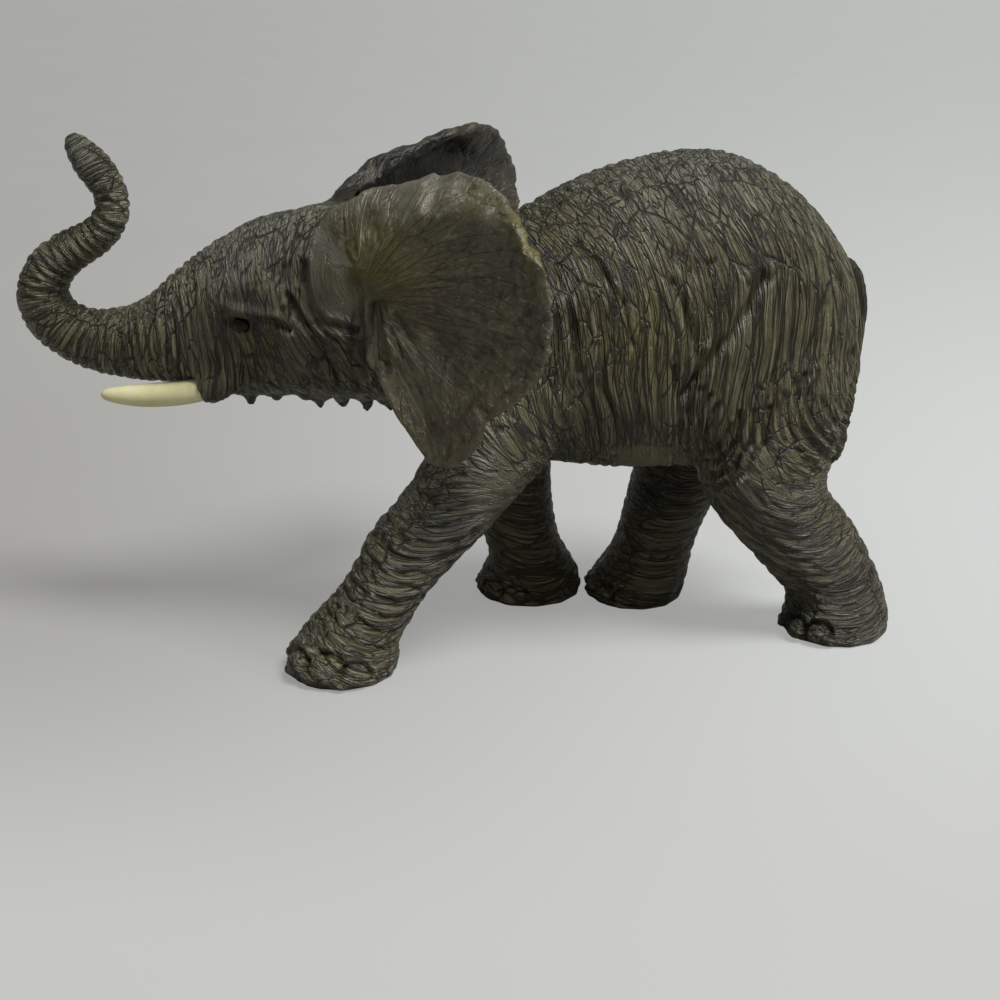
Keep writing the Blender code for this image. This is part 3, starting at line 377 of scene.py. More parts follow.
FLANK = (Region.TORSO, Region.HIND_LEFT)
HEADS = (Region.HEAD, Region.JAW)
TORSO = (Region.TORSO,)
NEAR_EAR = (Region.EAR_LEFT,)
FAR_EAR = (Region.EAR_RIGHT,)
REACHING_LEG = (Region.FORE_LEFT,)
TRAILING_LEG = (Region.HIND_LEFT,)
GROOVES = (
    Groove(((765, 279), (748, 308), (731, 336), (702, 370), (686, 396)), 1.3, 0.85, FLANK),
    Groove(((698, 353), (686, 312), (674, 284)), 1.1, 0.55, FLANK),
    Groove(((688, 413), (686, 396), (695, 382)), 1.3, 0.7, FLANK),
    Groove(((702, 341), (712, 298), (710, 264)), 0.9, 0.4, FLANK),
    Groove(((681, 442), (678, 406), (674, 370)), 0.9, 0.45, FLANK),
    Groove(((731, 425), (724, 442), (710, 454), (705, 440), (710, 418), (719, 404)), 0.6, 0.5, FLANK),
    Groove(
        ((741, 413), (737, 440), (719, 462), (702, 461), (696, 442), (699, 418), (710, 396)), 0.6, 0.5, FLANK
    ),
    Groove(
        ((754, 411), (750, 442), (731, 471), (707, 476), (692, 464), (688, 440), (689, 413), (700, 389)),
        0.7, 0.5, FLANK,
    ),
    Groove(((770, 408), (765, 442), (746, 473), (717, 488), (693, 483)), 0.7, 0.4, FLANK),
    Groove(((839, 449), (820, 432), (808, 406), (806, 377)), 0.7, 0.45, FLANK),
    Groove(((830, 459), (810, 440), (798, 413), (796, 384)), 0.7, 0.4, FLANK),
    Groove(((815, 471), (801, 454), (789, 425), (786, 394)), 0.7, 0.35, FLANK),
    Groove(((844, 430), (830, 416), (820, 394), (818, 372)), 0.7, 0.4, FLANK),
    Groove(((839, 279), (852, 298), (855, 334), (849, 358)), 0.8, 0.4, FLANK),
    Groove(((623, 452), (616, 418), (599, 382), (597, 346)), 0.8, 0.35, FLANK),
    Groove(((633, 346), (623, 303), (599, 264), (568, 233)), 0.6, 0.35, FLANK),
    Groove(((578, 370), (574, 334), (566, 298), (558, 264)), 0.8, 0.4, FLANK),
    Groove(((226, 317), (240, 313), (258, 317), (275, 322), (289, 331)), 0.7, 0.55, HEADS),
    Groove(((228, 331), (240, 337), (261, 336), (275, 328)), 0.5, 0.25, HEADS),
    Groove(((216, 281), (228, 270), (247, 264), (268, 265), (273, 274)), 0.45, 0.25, HEADS),
    Groove(((214, 271), (228, 260), (251, 255), (271, 257), (282, 267), (284, 281)), 0.45, 0.25, HEADS),
    Groove(((209, 264), (225, 251), (251, 246), (275, 246), (290, 253)), 0.45, 0.22, HEADS),
    Groove(((226, 291), (247, 286), (268, 283)), 0.45, 0.2, HEADS),
    Groove(((303, 264), (303, 284), (310, 307), (323, 321), (341, 326), (356, 331)), 0.8, 0.6, HEADS),
    Groove(((287, 295), (301, 323), (316, 347), (334, 369), (344, 394)), 0.6, 0.45, HEADS),
    Groove(((292, 298), (306, 323), (325, 343), (344, 364), (358, 387)), 0.6, 0.4, HEADS),
    Groove(((297, 291), (311, 319), (330, 336), (349, 354)), 0.6, 0.4, HEADS),
    Groove(((285, 309), (294, 326), (306, 345), (320, 369), (330, 395)), 0.55, 0.35, HEADS),
    Groove(((353, 333), (353, 357), (365, 375)), 0.9, 0.5, HEADS),
    Groove(((209, 305), (207, 326), (211, 343)), 1.0, 0.35, HEADS),
    Groove(((244, 385), (258, 382), (271, 385)), 0.7, 0.3, HEADS),
    Groove(((200, 393), (216, 382), (233, 381)), 0.6, 0.35, HEADS),
)
EAR_BENDS = (
    Groove(((325, 275), (356, 265), (386, 234), (424, 212), (467, 206), (503, 227)), 3.2, -1, NEAR_EAR),
    Groove(((510, 222), (530, 255), (551, 277), (560, 303), (555, 336), (538, 371)), 1.5, -0.8, NEAR_EAR),
    Groove(((399, 175), (397, 199), (394, 212)), 1.8, 0.5, NEAR_EAR),
    Groove(((444, 170), (437, 191), (432, 206)), 1.8, 0.5, NEAR_EAR),
    Groove(((371, 189), (366, 209), (373, 227)), 2.4, 0.6, NEAR_EAR),
    Groove(((419, 184), (416, 201)), 2.0, -0.5, NEAR_EAR),
    Groove(((467, 186), (462, 209)), 2.2, 0.5, NEAR_EAR),
    Groove(((487, 419), (472, 399), (452, 374)), 2.2, 0.7, NEAR_EAR),
    Groove(((487, 277), (528, 293)), 3.0, 0.8, NEAR_EAR),
    Groove(((416, 353), (442, 404), (452, 450)), 4.0, -0.6, NEAR_EAR),
    Groove(((373, 303), (411, 328), (452, 343), (487, 343)), 5.0, 0.9, NEAR_EAR),
    Groove(((376, 310), (376, 336), (380, 356)), 0.9, 0.8, NEAR_EAR),
    Groove(((387, 313), (391, 336), (395, 356)), 0.9, -0.5, NEAR_EAR),
    Groove(((399, 318), (411, 343), (422, 364)), 1.0, 0.4, NEAR_EAR),
    Groove(((328, 189), (351, 171), (386, 151), (416, 138), (452, 135), (477, 138)), 2.4, -1, FAR_EAR),
    Groove(((348, 196), (381, 168), (416, 153), (442, 148)), 2.6, 1, FAR_EAR),
    Groove(((452, 151), (472, 166), (487, 191)), 3.5, 0.6, FAR_EAR),
    Groove(((487, 125), (510, 141), (523, 166)), 2.0, -0.6, FAR_EAR),
)
EAR_LINES = (
    Groove(((373, 295), (406, 277), (452, 272), (492, 275)), 0.45, -0.3, EARS),
    Groove(((376, 298), (424, 285), (472, 284), (487, 295)), 0.4, -0.25, EARS),
    Groove(((376, 300), (432, 300), (472, 315), (487, 326)), 0.4, -0.25, EARS),
    Groove(((376, 303), (437, 318), (487, 328), (508, 333)), 0.4, -0.25, EARS),
    Groove(((376, 305), (424, 323), (475, 336), (513, 353)), 0.45, -0.28, EARS),
    Groove(((375, 308), (416, 333), (447, 353)), 0.45, -0.3, EARS),
    Groove(((373, 310), (404, 336), (422, 364)), 0.5, -0.3, EARS),
    Groove(((372, 310), (386, 333), (394, 356)), 0.5, -0.3, EARS),
    Groove(((447, 300), (482, 310), (508, 333)), 0.35, -0.22, EARS),
    Groove(((447, 353), (442, 374), (435, 395)), 0.4, 0.3, EARS),
    Groove(((442, 374), (457, 391)), 0.35, 0.25, EARS),
    Groove(((368, 303), (367, 330), (370, 366)), 1.0, -1.7, EARS),
    Groove(((377, 306), (380, 335), (387, 362)), 0.6, 1.1, EARS),
    Groove(((384, 304), (391, 330), (401, 356)), 0.5, 0.6, EARS),
    Groove(((357, 298), (343, 308), (325, 320), (310, 323)), 0.8, 0.5, EARS),
    Groove(((343, 219), (345, 250), (353, 262)), 0.4, 0.25, EARS),
    Groove(((377, 227), (378, 242)), 0.45, 0.3, EARS),
    Groove(((353, 237), (356, 255)), 0.4, 0.22, EARS),
    Groove(((363, 232), (367, 250)), 0.4, 0.22, EARS),
    Groove(((389, 219), (394, 234)), 0.4, 0.2, EARS),
    Groove(((330, 252), (338, 272)), 0.4, 0.25, EARS),
    Groove(((320, 262), (330, 285)), 0.4, 0.25, EARS),
    Groove(((462, 336), (503, 356), (530, 376)), 0.4, 0.18, EARS),
)
BARES = (
    Bare((645, 456), (30, 11), 0.0, TORSO, 0.6),
    Bare((502, 500), (34, 22), -40.0, (Region.FORE_LEFT, Region.TORSO), 0.5),
    Bare((335, 276), (30, 50), 12.0, HEADS, 0.75),
)
NAILS = (
    Nail((325, 670), (17, 15), Region.FORE_LEFT),
    Nail((297, 664), (10, 14), Region.FORE_LEFT),
    Nail((356, 676), (14, 11), Region.FORE_LEFT),
    Nail((493, 590), (9, 9), Region.FORE_RIGHT),
    Nail((514, 596), (11, 9), Region.FORE_RIGHT),
    Nail((604, 594), (9, 9), Region.HIND_RIGHT),
    Nail((624, 600), (11, 9), Region.HIND_RIGHT),
    Nail((795, 628), (10, 11), Region.HIND_LEFT),
    Nail((818, 634), (12, 11), Region.HIND_LEFT),
)
EAR_NOTCHES = (
    ((444, 176), 7.0, 1.7), ((399, 182), 7.0, 0.7), ((476, 417), 8.0, 1.3), ((530, 250), 8.0, 0.8),
    ((556, 343), 8.0, 0.6),
)
DEWLAP_TEETH = (
    (243, 0.9), (261, 1.1), (282, 1.3), (305, 1.7), (324, 1.3), (341, 1.3), (362, 1.0), (385, 1.5),
)
DEWLAP_TOP_PX = 370.0
# Olive and umber spots tint the paint. The dark spots are painted shade under the jaw and cheek, round the
# eye, in the ears' folds and hollows, on the belly and flank folds, on the legs and feet and over the back of
# the far ear, with some dark paint on the cheek; the light spots are painted light on the tops of the back,
# head and trunk and on the near ear's lit rim and ridges.
SPOTS = (
    Spot((354, 262), (22, 36), 0.8, Paint.OLIVE, (*EARS, *HEADS)),
    Spot((395, 262), (30, 34), 0.75, Paint.OLIVE, EARS),
    Spot((262, 350), (32, 24), 0.8, Paint.OLIVE, HEADS),
    Spot((650, 345), (60, 60), 0.35, Paint.OLIVE, TORSO),
    Spot((530, 240), (26, 30), 0.7, Paint.OLIVE, EARS),
    Spot((600, 330), (40, 110), 0.30, Paint.UMBER, TORSO),
    Spot((700, 260), (110, 40), 0.35, Paint.UMBER, TORSO),
    Spot((520, 560), (60, 60), 0.3, Paint.UMBER, (Region.FORE_RIGHT,)),
    Spot((390, 560), (40, 60), 0.5, Paint.UMBER, REACHING_LEG),
    Spot((640, 560), (60, 30), 0.3, Paint.UMBER, (Region.HIND_RIGHT,)),
    Spot((840, 560), (40, 40), 0.5, Paint.UMBER, TRAILING_LEG),
    Spot((360, 185), (40, 40), 0.7, Paint.UMBER, FAR_EAR),
    Spot((660, 490), (40, 36), 0.95, Paint.DARK_PAINT_AND_SHADE, (Region.HIND_RIGHT,)),
    Spot((262, 396), (52, 14), 0.8, Paint.DARK_PAINT_AND_SHADE, HEADS),
    Spot((800, 612), (26, 22), 0.85, Paint.DARK_PAINT_AND_SHADE, TRAILING_LEG),
    Spot((835, 636), (40, 9), 0.7, Paint.DARK_PAINT_AND_SHADE, TRAILING_LEG),
    Spot((240, 322), (20, 9), 0.8, Paint.DARK_PAINT_AND_SHADE, HEADS),
    Spot((372, 330), (7, 34), 0.6, Paint.DARK_PAINT_AND_SHADE, NEAR_EAR),
    Spot((470, 150), (60, 18), 0.7, Paint.DARK_PAINT_AND_SHADE, FAR_EAR),
    Spot((560, 420), (26, 60), 0.5, Paint.DARK_PAINT_AND_SHADE, (Region.TORSO, Region.FORE_LEFT)),
    Spot((690, 380), (26, 60), 0.5, Paint.DARK_PAINT_AND_SHADE, TORSO),
    Spot((275, 215), (60, 18), 0.6, Paint.PAINTED_LIGHT, HEADS),
    Spot((80, 160), (26, 30), 0.7, Paint.PAINTED_LIGHT, (Region.TRUNK,)),
    Spot((330, 205), (26, 20), 0.5, Paint.PAINTED_LIGHT, HEADS),
    Spot((440, 182), (60, 12), 0.6, Paint.PAINTED_LIGHT, NEAR_EAR),
    Spot((553, 300), (7, 44), 0.6, Paint.PAINTED_LIGHT, NEAR_EAR),
    Spot((430, 300), (75, 60), 0.75, Paint.UMBER, NEAR_EAR),
    Spot((512, 262), (26, 34), 0.75, Paint.DARK_PAINT_AND_SHADE, NEAR_EAR),
    Spot((536, 330), (16, 40), 0.65, Paint.DARK_PAINT_AND_SHADE, NEAR_EAR),
    Spot((470, 240), (60, 20), 0.45, Paint.DARK_PAINT_AND_SHADE, NEAR_EAR),
    Spot((448, 156), (34, 10), 0.95, Paint.DARK_PAINT_AND_SHADE, FAR_EAR),
    Spot((400, 165), (60, 22), 0.8, Paint.OLIVE, FAR_EAR),
    Spot((410, 160), (100, 40), 0.95, Paint.DARK_PAINT_AND_SHADE, FAR_EAR),
    Spot((430, 160), (220, 90), 0.9, Paint.DARK_PAINT_AND_SHADE, FAR_EAR),
    Spot((362, 168), (46, 26), 1.4, Paint.DARK_PAINT_AND_SHADE, FAR_EAR),
    Spot((430, 140), (70, 16), 1.2, Paint.DARK_PAINT_AND_SHADE, FAR_EAR),
    Spot((410, 165), (150, 70), 1.4, Paint.DARK_PAINT_AND_SHADE, FAR_EAR),
    Spot((455, 520), (52, 52), 0.60, Paint.DARK_PAINT_AND_SHADE, REACHING_LEG),
    Spot((440, 432), (46, 40), 0.40, Paint.DARK_PAINT_AND_SHADE, NEAR_EAR),
    Spot((700, 175), (120, 44), 0.6, Paint.PAINTED_LIGHT, TORSO),
    Spot((855, 590), (48, 50), 0.60, Paint.DARK_PAINT_AND_SHADE, TRAILING_LEG),
    Spot((300, 335), (70, 50), 0.50, Paint.DARK_PAINT_AND_SHADE, HEADS),
    Spot((275, 236), (75, 36), 0.6, Paint.PAINTED_LIGHT, HEADS),
    Spot((328, 292), (24, 42), 0.65, Paint.DARK_PAINT_AND_SHADE, HEADS),
    Spot((330, 250), (30, 22), 0.5, Paint.DARK_PAINT_AND_SHADE, HEADS),
    Spot((600, 425), (70, 26), 0.45, Paint.DARK_PAINT_AND_SHADE, TORSO),
    Spot((367, 332), (6, 34), 1.0, Paint.PAINTED_LIGHT, NEAR_EAR),
    Spot((381, 330), (5, 28), 0.85, Paint.DARK_PAINT_AND_SHADE, NEAR_EAR),
    Spot((350, 330), (7, 30), 0.9, Paint.DARK_PAINT_AND_SHADE, (Region.EAR_LEFT, *HEADS)),
    Spot((400, 200), (70, 18), 0.55, Paint.PAINTED_LIGHT, NEAR_EAR),
    Spot((450, 330), (50, 60), 0.55, Paint.DARK_PAINT_AND_SHADE, NEAR_EAR),
    Spot((280, 365), (60, 26), 0.55, Paint.DARK_PAINT_AND_SHADE, HEADS),
    Spot((215, 345), (26, 26), 0.45, Paint.DARK_PAINT_AND_SHADE, HEADS),
    Spot((440, 425), (40, 36), 0.5, Paint.UMBER, NEAR_EAR),
    Spot((364, 320), (7, 22), 0.8, Paint.PAINTED_LIGHT, NEAR_EAR),
)

SMOOTH_STEPS = 130
KEPT_STEPS = 9
RESTORE_STEPS = 60
WEIGHT_STEPS = 40
LABEL_STEPS = 8
FLOW_STEPS = 70
FLOW_BLOCK = 7.0
TANGENT_STEPS = 25
SETTLE_STEPS = 8
RELIEF_STEPS = 30
STRIP_DEPTHS = (0.0, 0.02, 0.08, 0.30, 0.80)
KEPT_SHAPES = (
    (Region.JAW, 0.95), (Region.EAR_LEFT, 0.93), (Region.EAR_RIGHT, 0.93), (Region.TAIL, 0.8),
    (Region.TRUNK, 0.55),
)

GROOVE_DEPTH = 1.7
EAR_BEND_DEPTH = 1.7
TOOTH_DEPTH = 0.75
RING_PITCH = 2.1
CREST_PITCH = 2.9
FACE_PITCH = 2.1
LONG_FOLDS = Crease(21, 0.0, 3.1, 26.0, 0.60, 0.62)
FINE_FOLDS = Crease(25, -9.0, 1.9, 15.0, 0.55, 0.30)
SLANT_PLATES = Crease(22, -26.0, 2.2, 9.0, 0.13, 0.20)
COUNTER_PLATES = Crease(23, 31.0, 2.2, 9.0, 0.13, 0.20)
CROSS_PLATES = Crease(24, 84.0, 2.8, 10.0, 0.12, 0.18)
LEG_PLATES = Crease(34, 12.0, 2.4, 6.0, 0.15, 0.32)
LEG_CROSS_PLATES = Crease(35, 76.0, 2.4, 4.2, 0.14, 0.22)
FACE_PLATES = Crease(51, 6.0, 2.1, 7.0, 0.13, 0.22)
FACE_CROSS_PLATES = Crease(52, 84.0, 2.1, 7.0, 0.13, 0.22)
EAR_PLATES = Crease(61, 0.0, 2.4, 20.0, 0.25, 0.16)
LEG_FOLDS = (
    LegFold(Region.FORE_LEFT, 7.0, 46.0, 1.35, 3.3),
    LegFold(Region.FORE_RIGHT, 7.0, 40.0, 0.45, 2.9),
    LegFold(Region.HIND_LEFT, 12.0, 50.0, 0.55, 3.0),
    LegFold(Region.HIND_RIGHT, 8.0, 32.0, 0.50, 2.9),
)
EYE_SCALE = (1.3, 1.1, 1.2)
EYE_PROUD = 0.10


def unit_noise(points: np.ndarray, seed: int) -> np.ndarray:
    """Smooth gradient noise.

    Args:
        points: Places in three dimensions, one cell of the noise per unit.
        seed: Which noise.

    Returns:
        Values from about -1 to 1.
    """
    table = np.random.default_rng(seed).normal(size=(256, 3)).astype(np.float32)
    table /= np.linalg.norm(table, axis=1, keepdims=True)
    cell = np.floor(points)
    part = (points - cell).astype(np.float32).T
    base = cell.astype(np.int64).T * np.array(NOISE_PRIMES)[:, None]
    fade = part**3 * (part * (part * 6 - 15) + 10)
    total = np.zeros(len(points), np.float32)
    for i, j, k in itertools.product((0, 1), repeat=3):
        corner = base + np.array((i, j, k))[:, None] * np.array(NOISE_PRIMES)[:, None]
        key = corner[0] ^ corner[1] ^ corner[2]
        slope = table[(key ^ (key >> 11) ^ (key >> 17)) & 255]
        reach = (part[0] - i) * slope[:, 0] + (part[1] - j) * slope[:, 1] + (part[2] - k) * slope[:, 2]
        share = (fade[0] if i else 1 - fade[0]) * (fade[1] if j else 1 - fade[1])
        total += share * (fade[2] if k else 1 - fade[2]) * reach
    return total.astype(float) * 1.7


def cracks(places: np.ndarray, seed: int, width: float) -> np.ndarray:
    """Flat cells of skin with sharp grooves between them.

    Args:
        places: Places scaled to one cell per unit.
        seed: Which pattern.
        width: How wide a groove is, in cells.

    Returns:
        0 in a groove to 1 on a cell.
    """
    table = np.random.default_rng(seed).random((4096, 3))
    base = np.floor(places).astype(np.int64)
    part = places - base
    first = np.full(len(places), 9.0)
    second = np.full(len(places), 9.0)
    for shift in itertools.product((-1, 0, 1), repeat=3):
        cell = base + np.array(shift)
        key = np.bitwise_xor.reduce(cell * np.array(NOISE_PRIMES), axis=1)
        key = (key ^ (key >> 13)) & 4095
        away = ((table[key] + np.array(shift) - part) ** 2).sum(axis=1)
        nearer = away < first
        second = np.where(nearer, first, np.minimum(second, away))
        first = np.where(nearer, away, first)
    gap = np.sqrt(second) - np.sqrt(first)
    return 1 - np.exp(-((gap / width) ** 2))


def smoothstep(values: np.ndarray, low: float, high: float) -> np.ndarray:
    """0 below low, 1 above high, and smooth between.

    Args:
        values: What is mapped.
        low: Where the rise starts.
        high: Where it ends.

    Returns:
        The mapped values.
    """
    share = np.clip((values - low) / (high - low), 0.0, 1.0)
    return share * share * (3 - 2 * share)


def turned(flow: np.ndarray, degrees: float, across: float, along: float) -> np.ndarray:
    """Flow places turned in the skin's plane and scaled to a family of creases.

    Args:
        flow: Across, along and outward coordinates of the skin, in mm.
        degrees: How far the family turns from the main flow.
        across: Spacing of the creases.
        along: Their length.

    Returns:
        Places for the noise.
    """
    angle = math.radians(degrees)
    u = flow[:, 0] * math.cos(angle) + flow[:, 1] * math.sin(angle)
    v = flow[:, 1] * math.cos(angle) - flow[:, 0] * math.sin(angle)
    return np.stack((u / across, v / along, flow[:, 2] / along), axis=1)


def along_line(points: np.ndarray, line: CentreLine) -> tuple[np.ndarray, np.ndarray]:
    """How far along a centre line points lie, and how far off it in its own plane.

    Args:
        points: Places.
        line: The centre line.

    Returns:
        Arc length from the line's start, and the signed offset in the X-Z plane.
    """
    nodes = np.array(line.points)
    best = np.full(len(points), np.inf)
    length = np.zeros(len(points))
    offset = np.zeros(len(points))
    run = 0.0
    last = len(nodes) - 2
    for index, (a, b) in enumerate(zip(nodes, nodes[1:])):
        step = b - a
        size = float(np.linalg.norm(step))
        share = (points - a) @ step / size**2
        low = -np.inf if index == 0 else 0.0
        high = np.inf if index == last else 1.0
        share = np.clip(share, low, high)
        foot = a + share[:, None] * step
        gap = np.linalg.norm(points - foot, axis=1)
        near = gap < best
        side = (points[:, 0] - foot[:, 0]) * step[2] - (points[:, 2] - foot[:, 2]) * step[0]
        best = np.where(near, gap, best)
        length = np.where(near, run + share * size, length)
        offset = np.where(near, side / size, offset)
        run += size
    return length, offset


def line_distance(pixels: np.ndarray, path: Path) -> np.ndarray:
    """How far pixels lie from a polyline on the photograph, where they are near it.

    Args:
        pixels: Places on the photograph.
        path: The polyline.

    Returns:
        The distances in pixels, or a large one away from the line.
    """
    best = np.full(len(pixels), 999.0)
    ends = np.array(path, float)
    low, high = ends.min(axis=0) - 45.0, ends.max(axis=0) + 45.0
    near = np.flatnonzero(((pixels > low) & (pixels < high)).all(axis=1))
    for a, b in zip(ends, ends[1:]):
        step = b - a
        share = np.clip((pixels[near] - a) @ step / (step @ step), 0.0, 1.0)
        best[near] = np.minimum(best[near], np.linalg.norm(pixels[near] - a - share[:, None] * step, axis=1))
    return best


class Links:
    """The neighbours of each vertex of a mesh, for smoothing."""

    def __init__(self, edges: np.ndarray, count: int) -> None:
        """Sorts the edges by vertex.

        Args:
            edges: Pairs of vertex numbers.
            count: How many vertices there are.
        """
        source = np.concatenate((edges[:, 0], edges[:, 1]))
        target = np.concatenate((edges[:, 1], edges[:, 0]))
        order = np.argsort(source, kind="stable")
        self.target = target[order]
        self.counts = np.bincount(source, minlength=count)
        self.starts = np.concatenate(([0], np.cumsum(self.counts)[:-1]))
        self.slots: list[tuple[np.ndarray, np.ndarray]] = []
        for slot in range(4, int(self.counts.max())):
            chosen = np.flatnonzero(self.counts > slot)
            self.slots.append((chosen, self.target[self.starts[chosen] + slot]))
        self.always = [self.target[self.starts + slot] for slot in range(min(4, int(self.counts.min())))]
        for slot in range(len(self.always), 4):
            chosen = np.flatnonzero(self.counts > slot)
            self.slots.append((chosen, self.target[self.starts[chosen] + slot]))

    def total(self, values: np.ndarray) -> np.ndarray:
        """The sum over each vertex's neighbours."""
        total = values[self.always[0]]
        for near in self.always[1:]:
            total += values[near]
        for chosen, near in self.slots:
            total[chosen] += values[near]
        return total

    def smooth(self, values: np.ndarray, steps: int, rate: np.ndarray | float = 0.5) -> np.ndarray:
        """Values drawn towards their neighbours' mean, again and again.

        Args:
            values: One value or one row of values per vertex.
            steps: How often.
            rate: How far each step goes towards the mean, for all vertices or for each.

        Returns:
            The smoothed values.
        """
        kind = values.dtype
        values = values.astype(np.float32)
        counts = self.counts.astype(np.float32)
        pull = rate / (counts if values.ndim == 1 else counts[:, None])
        hold = np.float32(1) - (rate if isinstance(rate, np.ndarray) else np.float32(rate))
        pull, hold = np.asarray(pull, np.float32), np.asarray(hold, np.float32)
        for _ in range(steps):
            values = values * hold + self.total(values) * pull
        return values.astype(kind)


class FlowField:
    """Lays coordinates over the skin, across and along its creases, that follow the drawn strokes."""

    def __init__(self, blank: "Blank", pixels: np.ndarray, normal: np.ndarray, guess: np.ndarray) -> None:
        """Keeps what the field is worked out from.

        Args:
            blank: The smoothed blank.
            pixels: Where each vertex falls on the photograph.
            normal: Its outward normal.
            guess: A first guess of the coordinates.
        """
        self.blank = blank
        self.pixels = pixels
        self.normal = normal
        self.guess = guess
        self.block, self.inverse = self._blocks()

    def solve(self, steps: int) -> np.ndarray:
        """Works out both coordinates.

        Args:
            steps: How long each solve runs.

        Returns:
            The coordinates across and along, and the plain sideways one.
        """
        across = self._tangents()
        along = np.cross(self.normal, across)
        columns = [self._potential(aim, start, steps) for aim, start in zip((across, along), self.guess.T)]
        return np.stack((*columns, self.blank.points[:, 1]), axis=1)

    def _tangents(self) -> np.ndarray:
        """The unit way across the creases at each vertex."""
        total = np.zeros((len(self.pixels), 3))
        head = to_head(self.blank.points)
        for index, region in enumerate(REGIONS):
            chosen = np.flatnonzero(self.blank.labels == index)
            if region is Region.TRUNK:
                total[chosen] = self._axis(head[chosen])
            elif region not in EARS:
                drawn = [path for source in STROKE_SOURCES.get(region, (region,)) for path in STROKES[source]]
                total[chosen] = self._drawn(self.pixels[chosen], drawn)
        total = self.blank.links.smooth(total, TANGENT_STEPS)
        total -= self.normal * (total * self.normal).sum(axis=1, keepdims=True)
        total = self.blank.links.smooth(total, SETTLE_STEPS)
        size = np.linalg.norm(total, axis=1, keepdims=True)
        return total / np.maximum(size, 0.12)

    @staticmethod
    def _drawn(pixels: np.ndarray, strokes: list[Path]) -> np.ndarray:
        """The way across the nearest strokes."""
        total = np.zeros((len(pixels), 3))
        for path in strokes:
            for a, b in zip(np.array(path, float), np.array(path[1:], float)):
                step = b - a
                size = np.linalg.norm(step)
                share = np.clip((pixels - a) @ step / size**2, 0.0, 1.0)
                away = ((pixels - a - share[:, None] * step) ** 2).sum(axis=1)
                weight = 1.0 / (away + 36.0) ** 2
                total[:, 0] -= weight * step[1] / size
                total[:, 2] -= weight * step[0] / size
        return total / np.linalg.norm(total, axis=1, keepdims=True)

    @staticmethod
    def _axis(head: np.ndarray) -> np.ndarray:
        """The way along the trunk towards its root."""
        nodes = np.array(TRUNK_LINE.points)
        middles = (nodes[:-1] + nodes[1:]) / 2
        steps = nodes[:-1] - nodes[1:]
        steps /= np.linalg.norm(steps, axis=1, keepdims=True)
        away = ((head[:, None, :] - middles[None]) ** 2).sum(axis=2)
        weight = 1.0 / (away + 1.0) ** 3
        way = (weight @ steps) / weight.sum(axis=1, keepdims=True)
        cos, sin = math.cos(HEAD_TURN), math.sin(HEAD_TURN)
        x, y, z = way.T
        return np.stack((x * cos - y * sin, x * sin + y * cos, z), axis=1)

    def _potential(self, aim: np.ndarray, start: np.ndarray, steps: int) -> np.ndarray:
        """The coordinate whose slope comes nearest to the aim, by conjugate gradients."""
        links, points = self.blank.links, self.blank.points
        source = np.repeat(np.arange(len(points)), links.counts)
        reach = points[source] - points[links.target]
        wanted = (0.5 * (aim[source] + aim[links.target]) * reach).sum(axis=1)
        right = np.add.reduceat(wanted, links.starts)
        value = start.copy()
        rest = right - links.counts * value + links.total(value)
        first = float(np.abs(rest).mean())
        eased = self._eased(rest)
        way = eased.copy()
        power = float(rest @ eased)
        for _ in range(steps):
            pushed = links.counts * way - links.total(way)
            size = power / float(way @ pushed)
            value += size * way
            rest -= size * pushed
            eased = self._eased(rest)
            fresh = float(rest @ eased)
            way = eased + way * (fresh / power)
            power = fresh
        LOG.info("flow error fell from %.5f to %.5f", first, float(np.abs(rest).mean()))
        return value

    def _eased(self, rest: np.ndarray) -> np.ndarray:
        """What is left of an error, spread over single vertices and over whole blocks of them."""
        coarse = self.inverse @ np.bincount(self.block, rest, len(self.inverse))
        return rest / self.blank.links.counts + coarse[self.block]

    def _blocks(self) -> tuple[np.ndarray, np.ndarray]:
        """The block of each vertex, and the inverse of the blocks' own equations."""
        links = self.blank.links
        cells = np.floor(self.blank.points / FLOW_BLOCK).astype(np.int64)
        key = (cells[:, 0] * 4099 + cells[:, 1]) * 4099 + cells[:, 2]
        block = np.unique(key, return_inverse=True)[1]
        count = int(block.max()) + 1
        source = np.repeat(block, links.counts)
        shared = np.bincount(source * count + block[links.target], minlength=count * count)
        matrix = -shared.reshape(count, count).astype(float)
        np.fill_diagonal(matrix, 0.0)
        np.fill_diagonal(matrix, 0.01 - matrix.sum(axis=1))
        LOG.info("flow is solved over %d blocks", count)
        return block, np.linalg.inv(matrix)


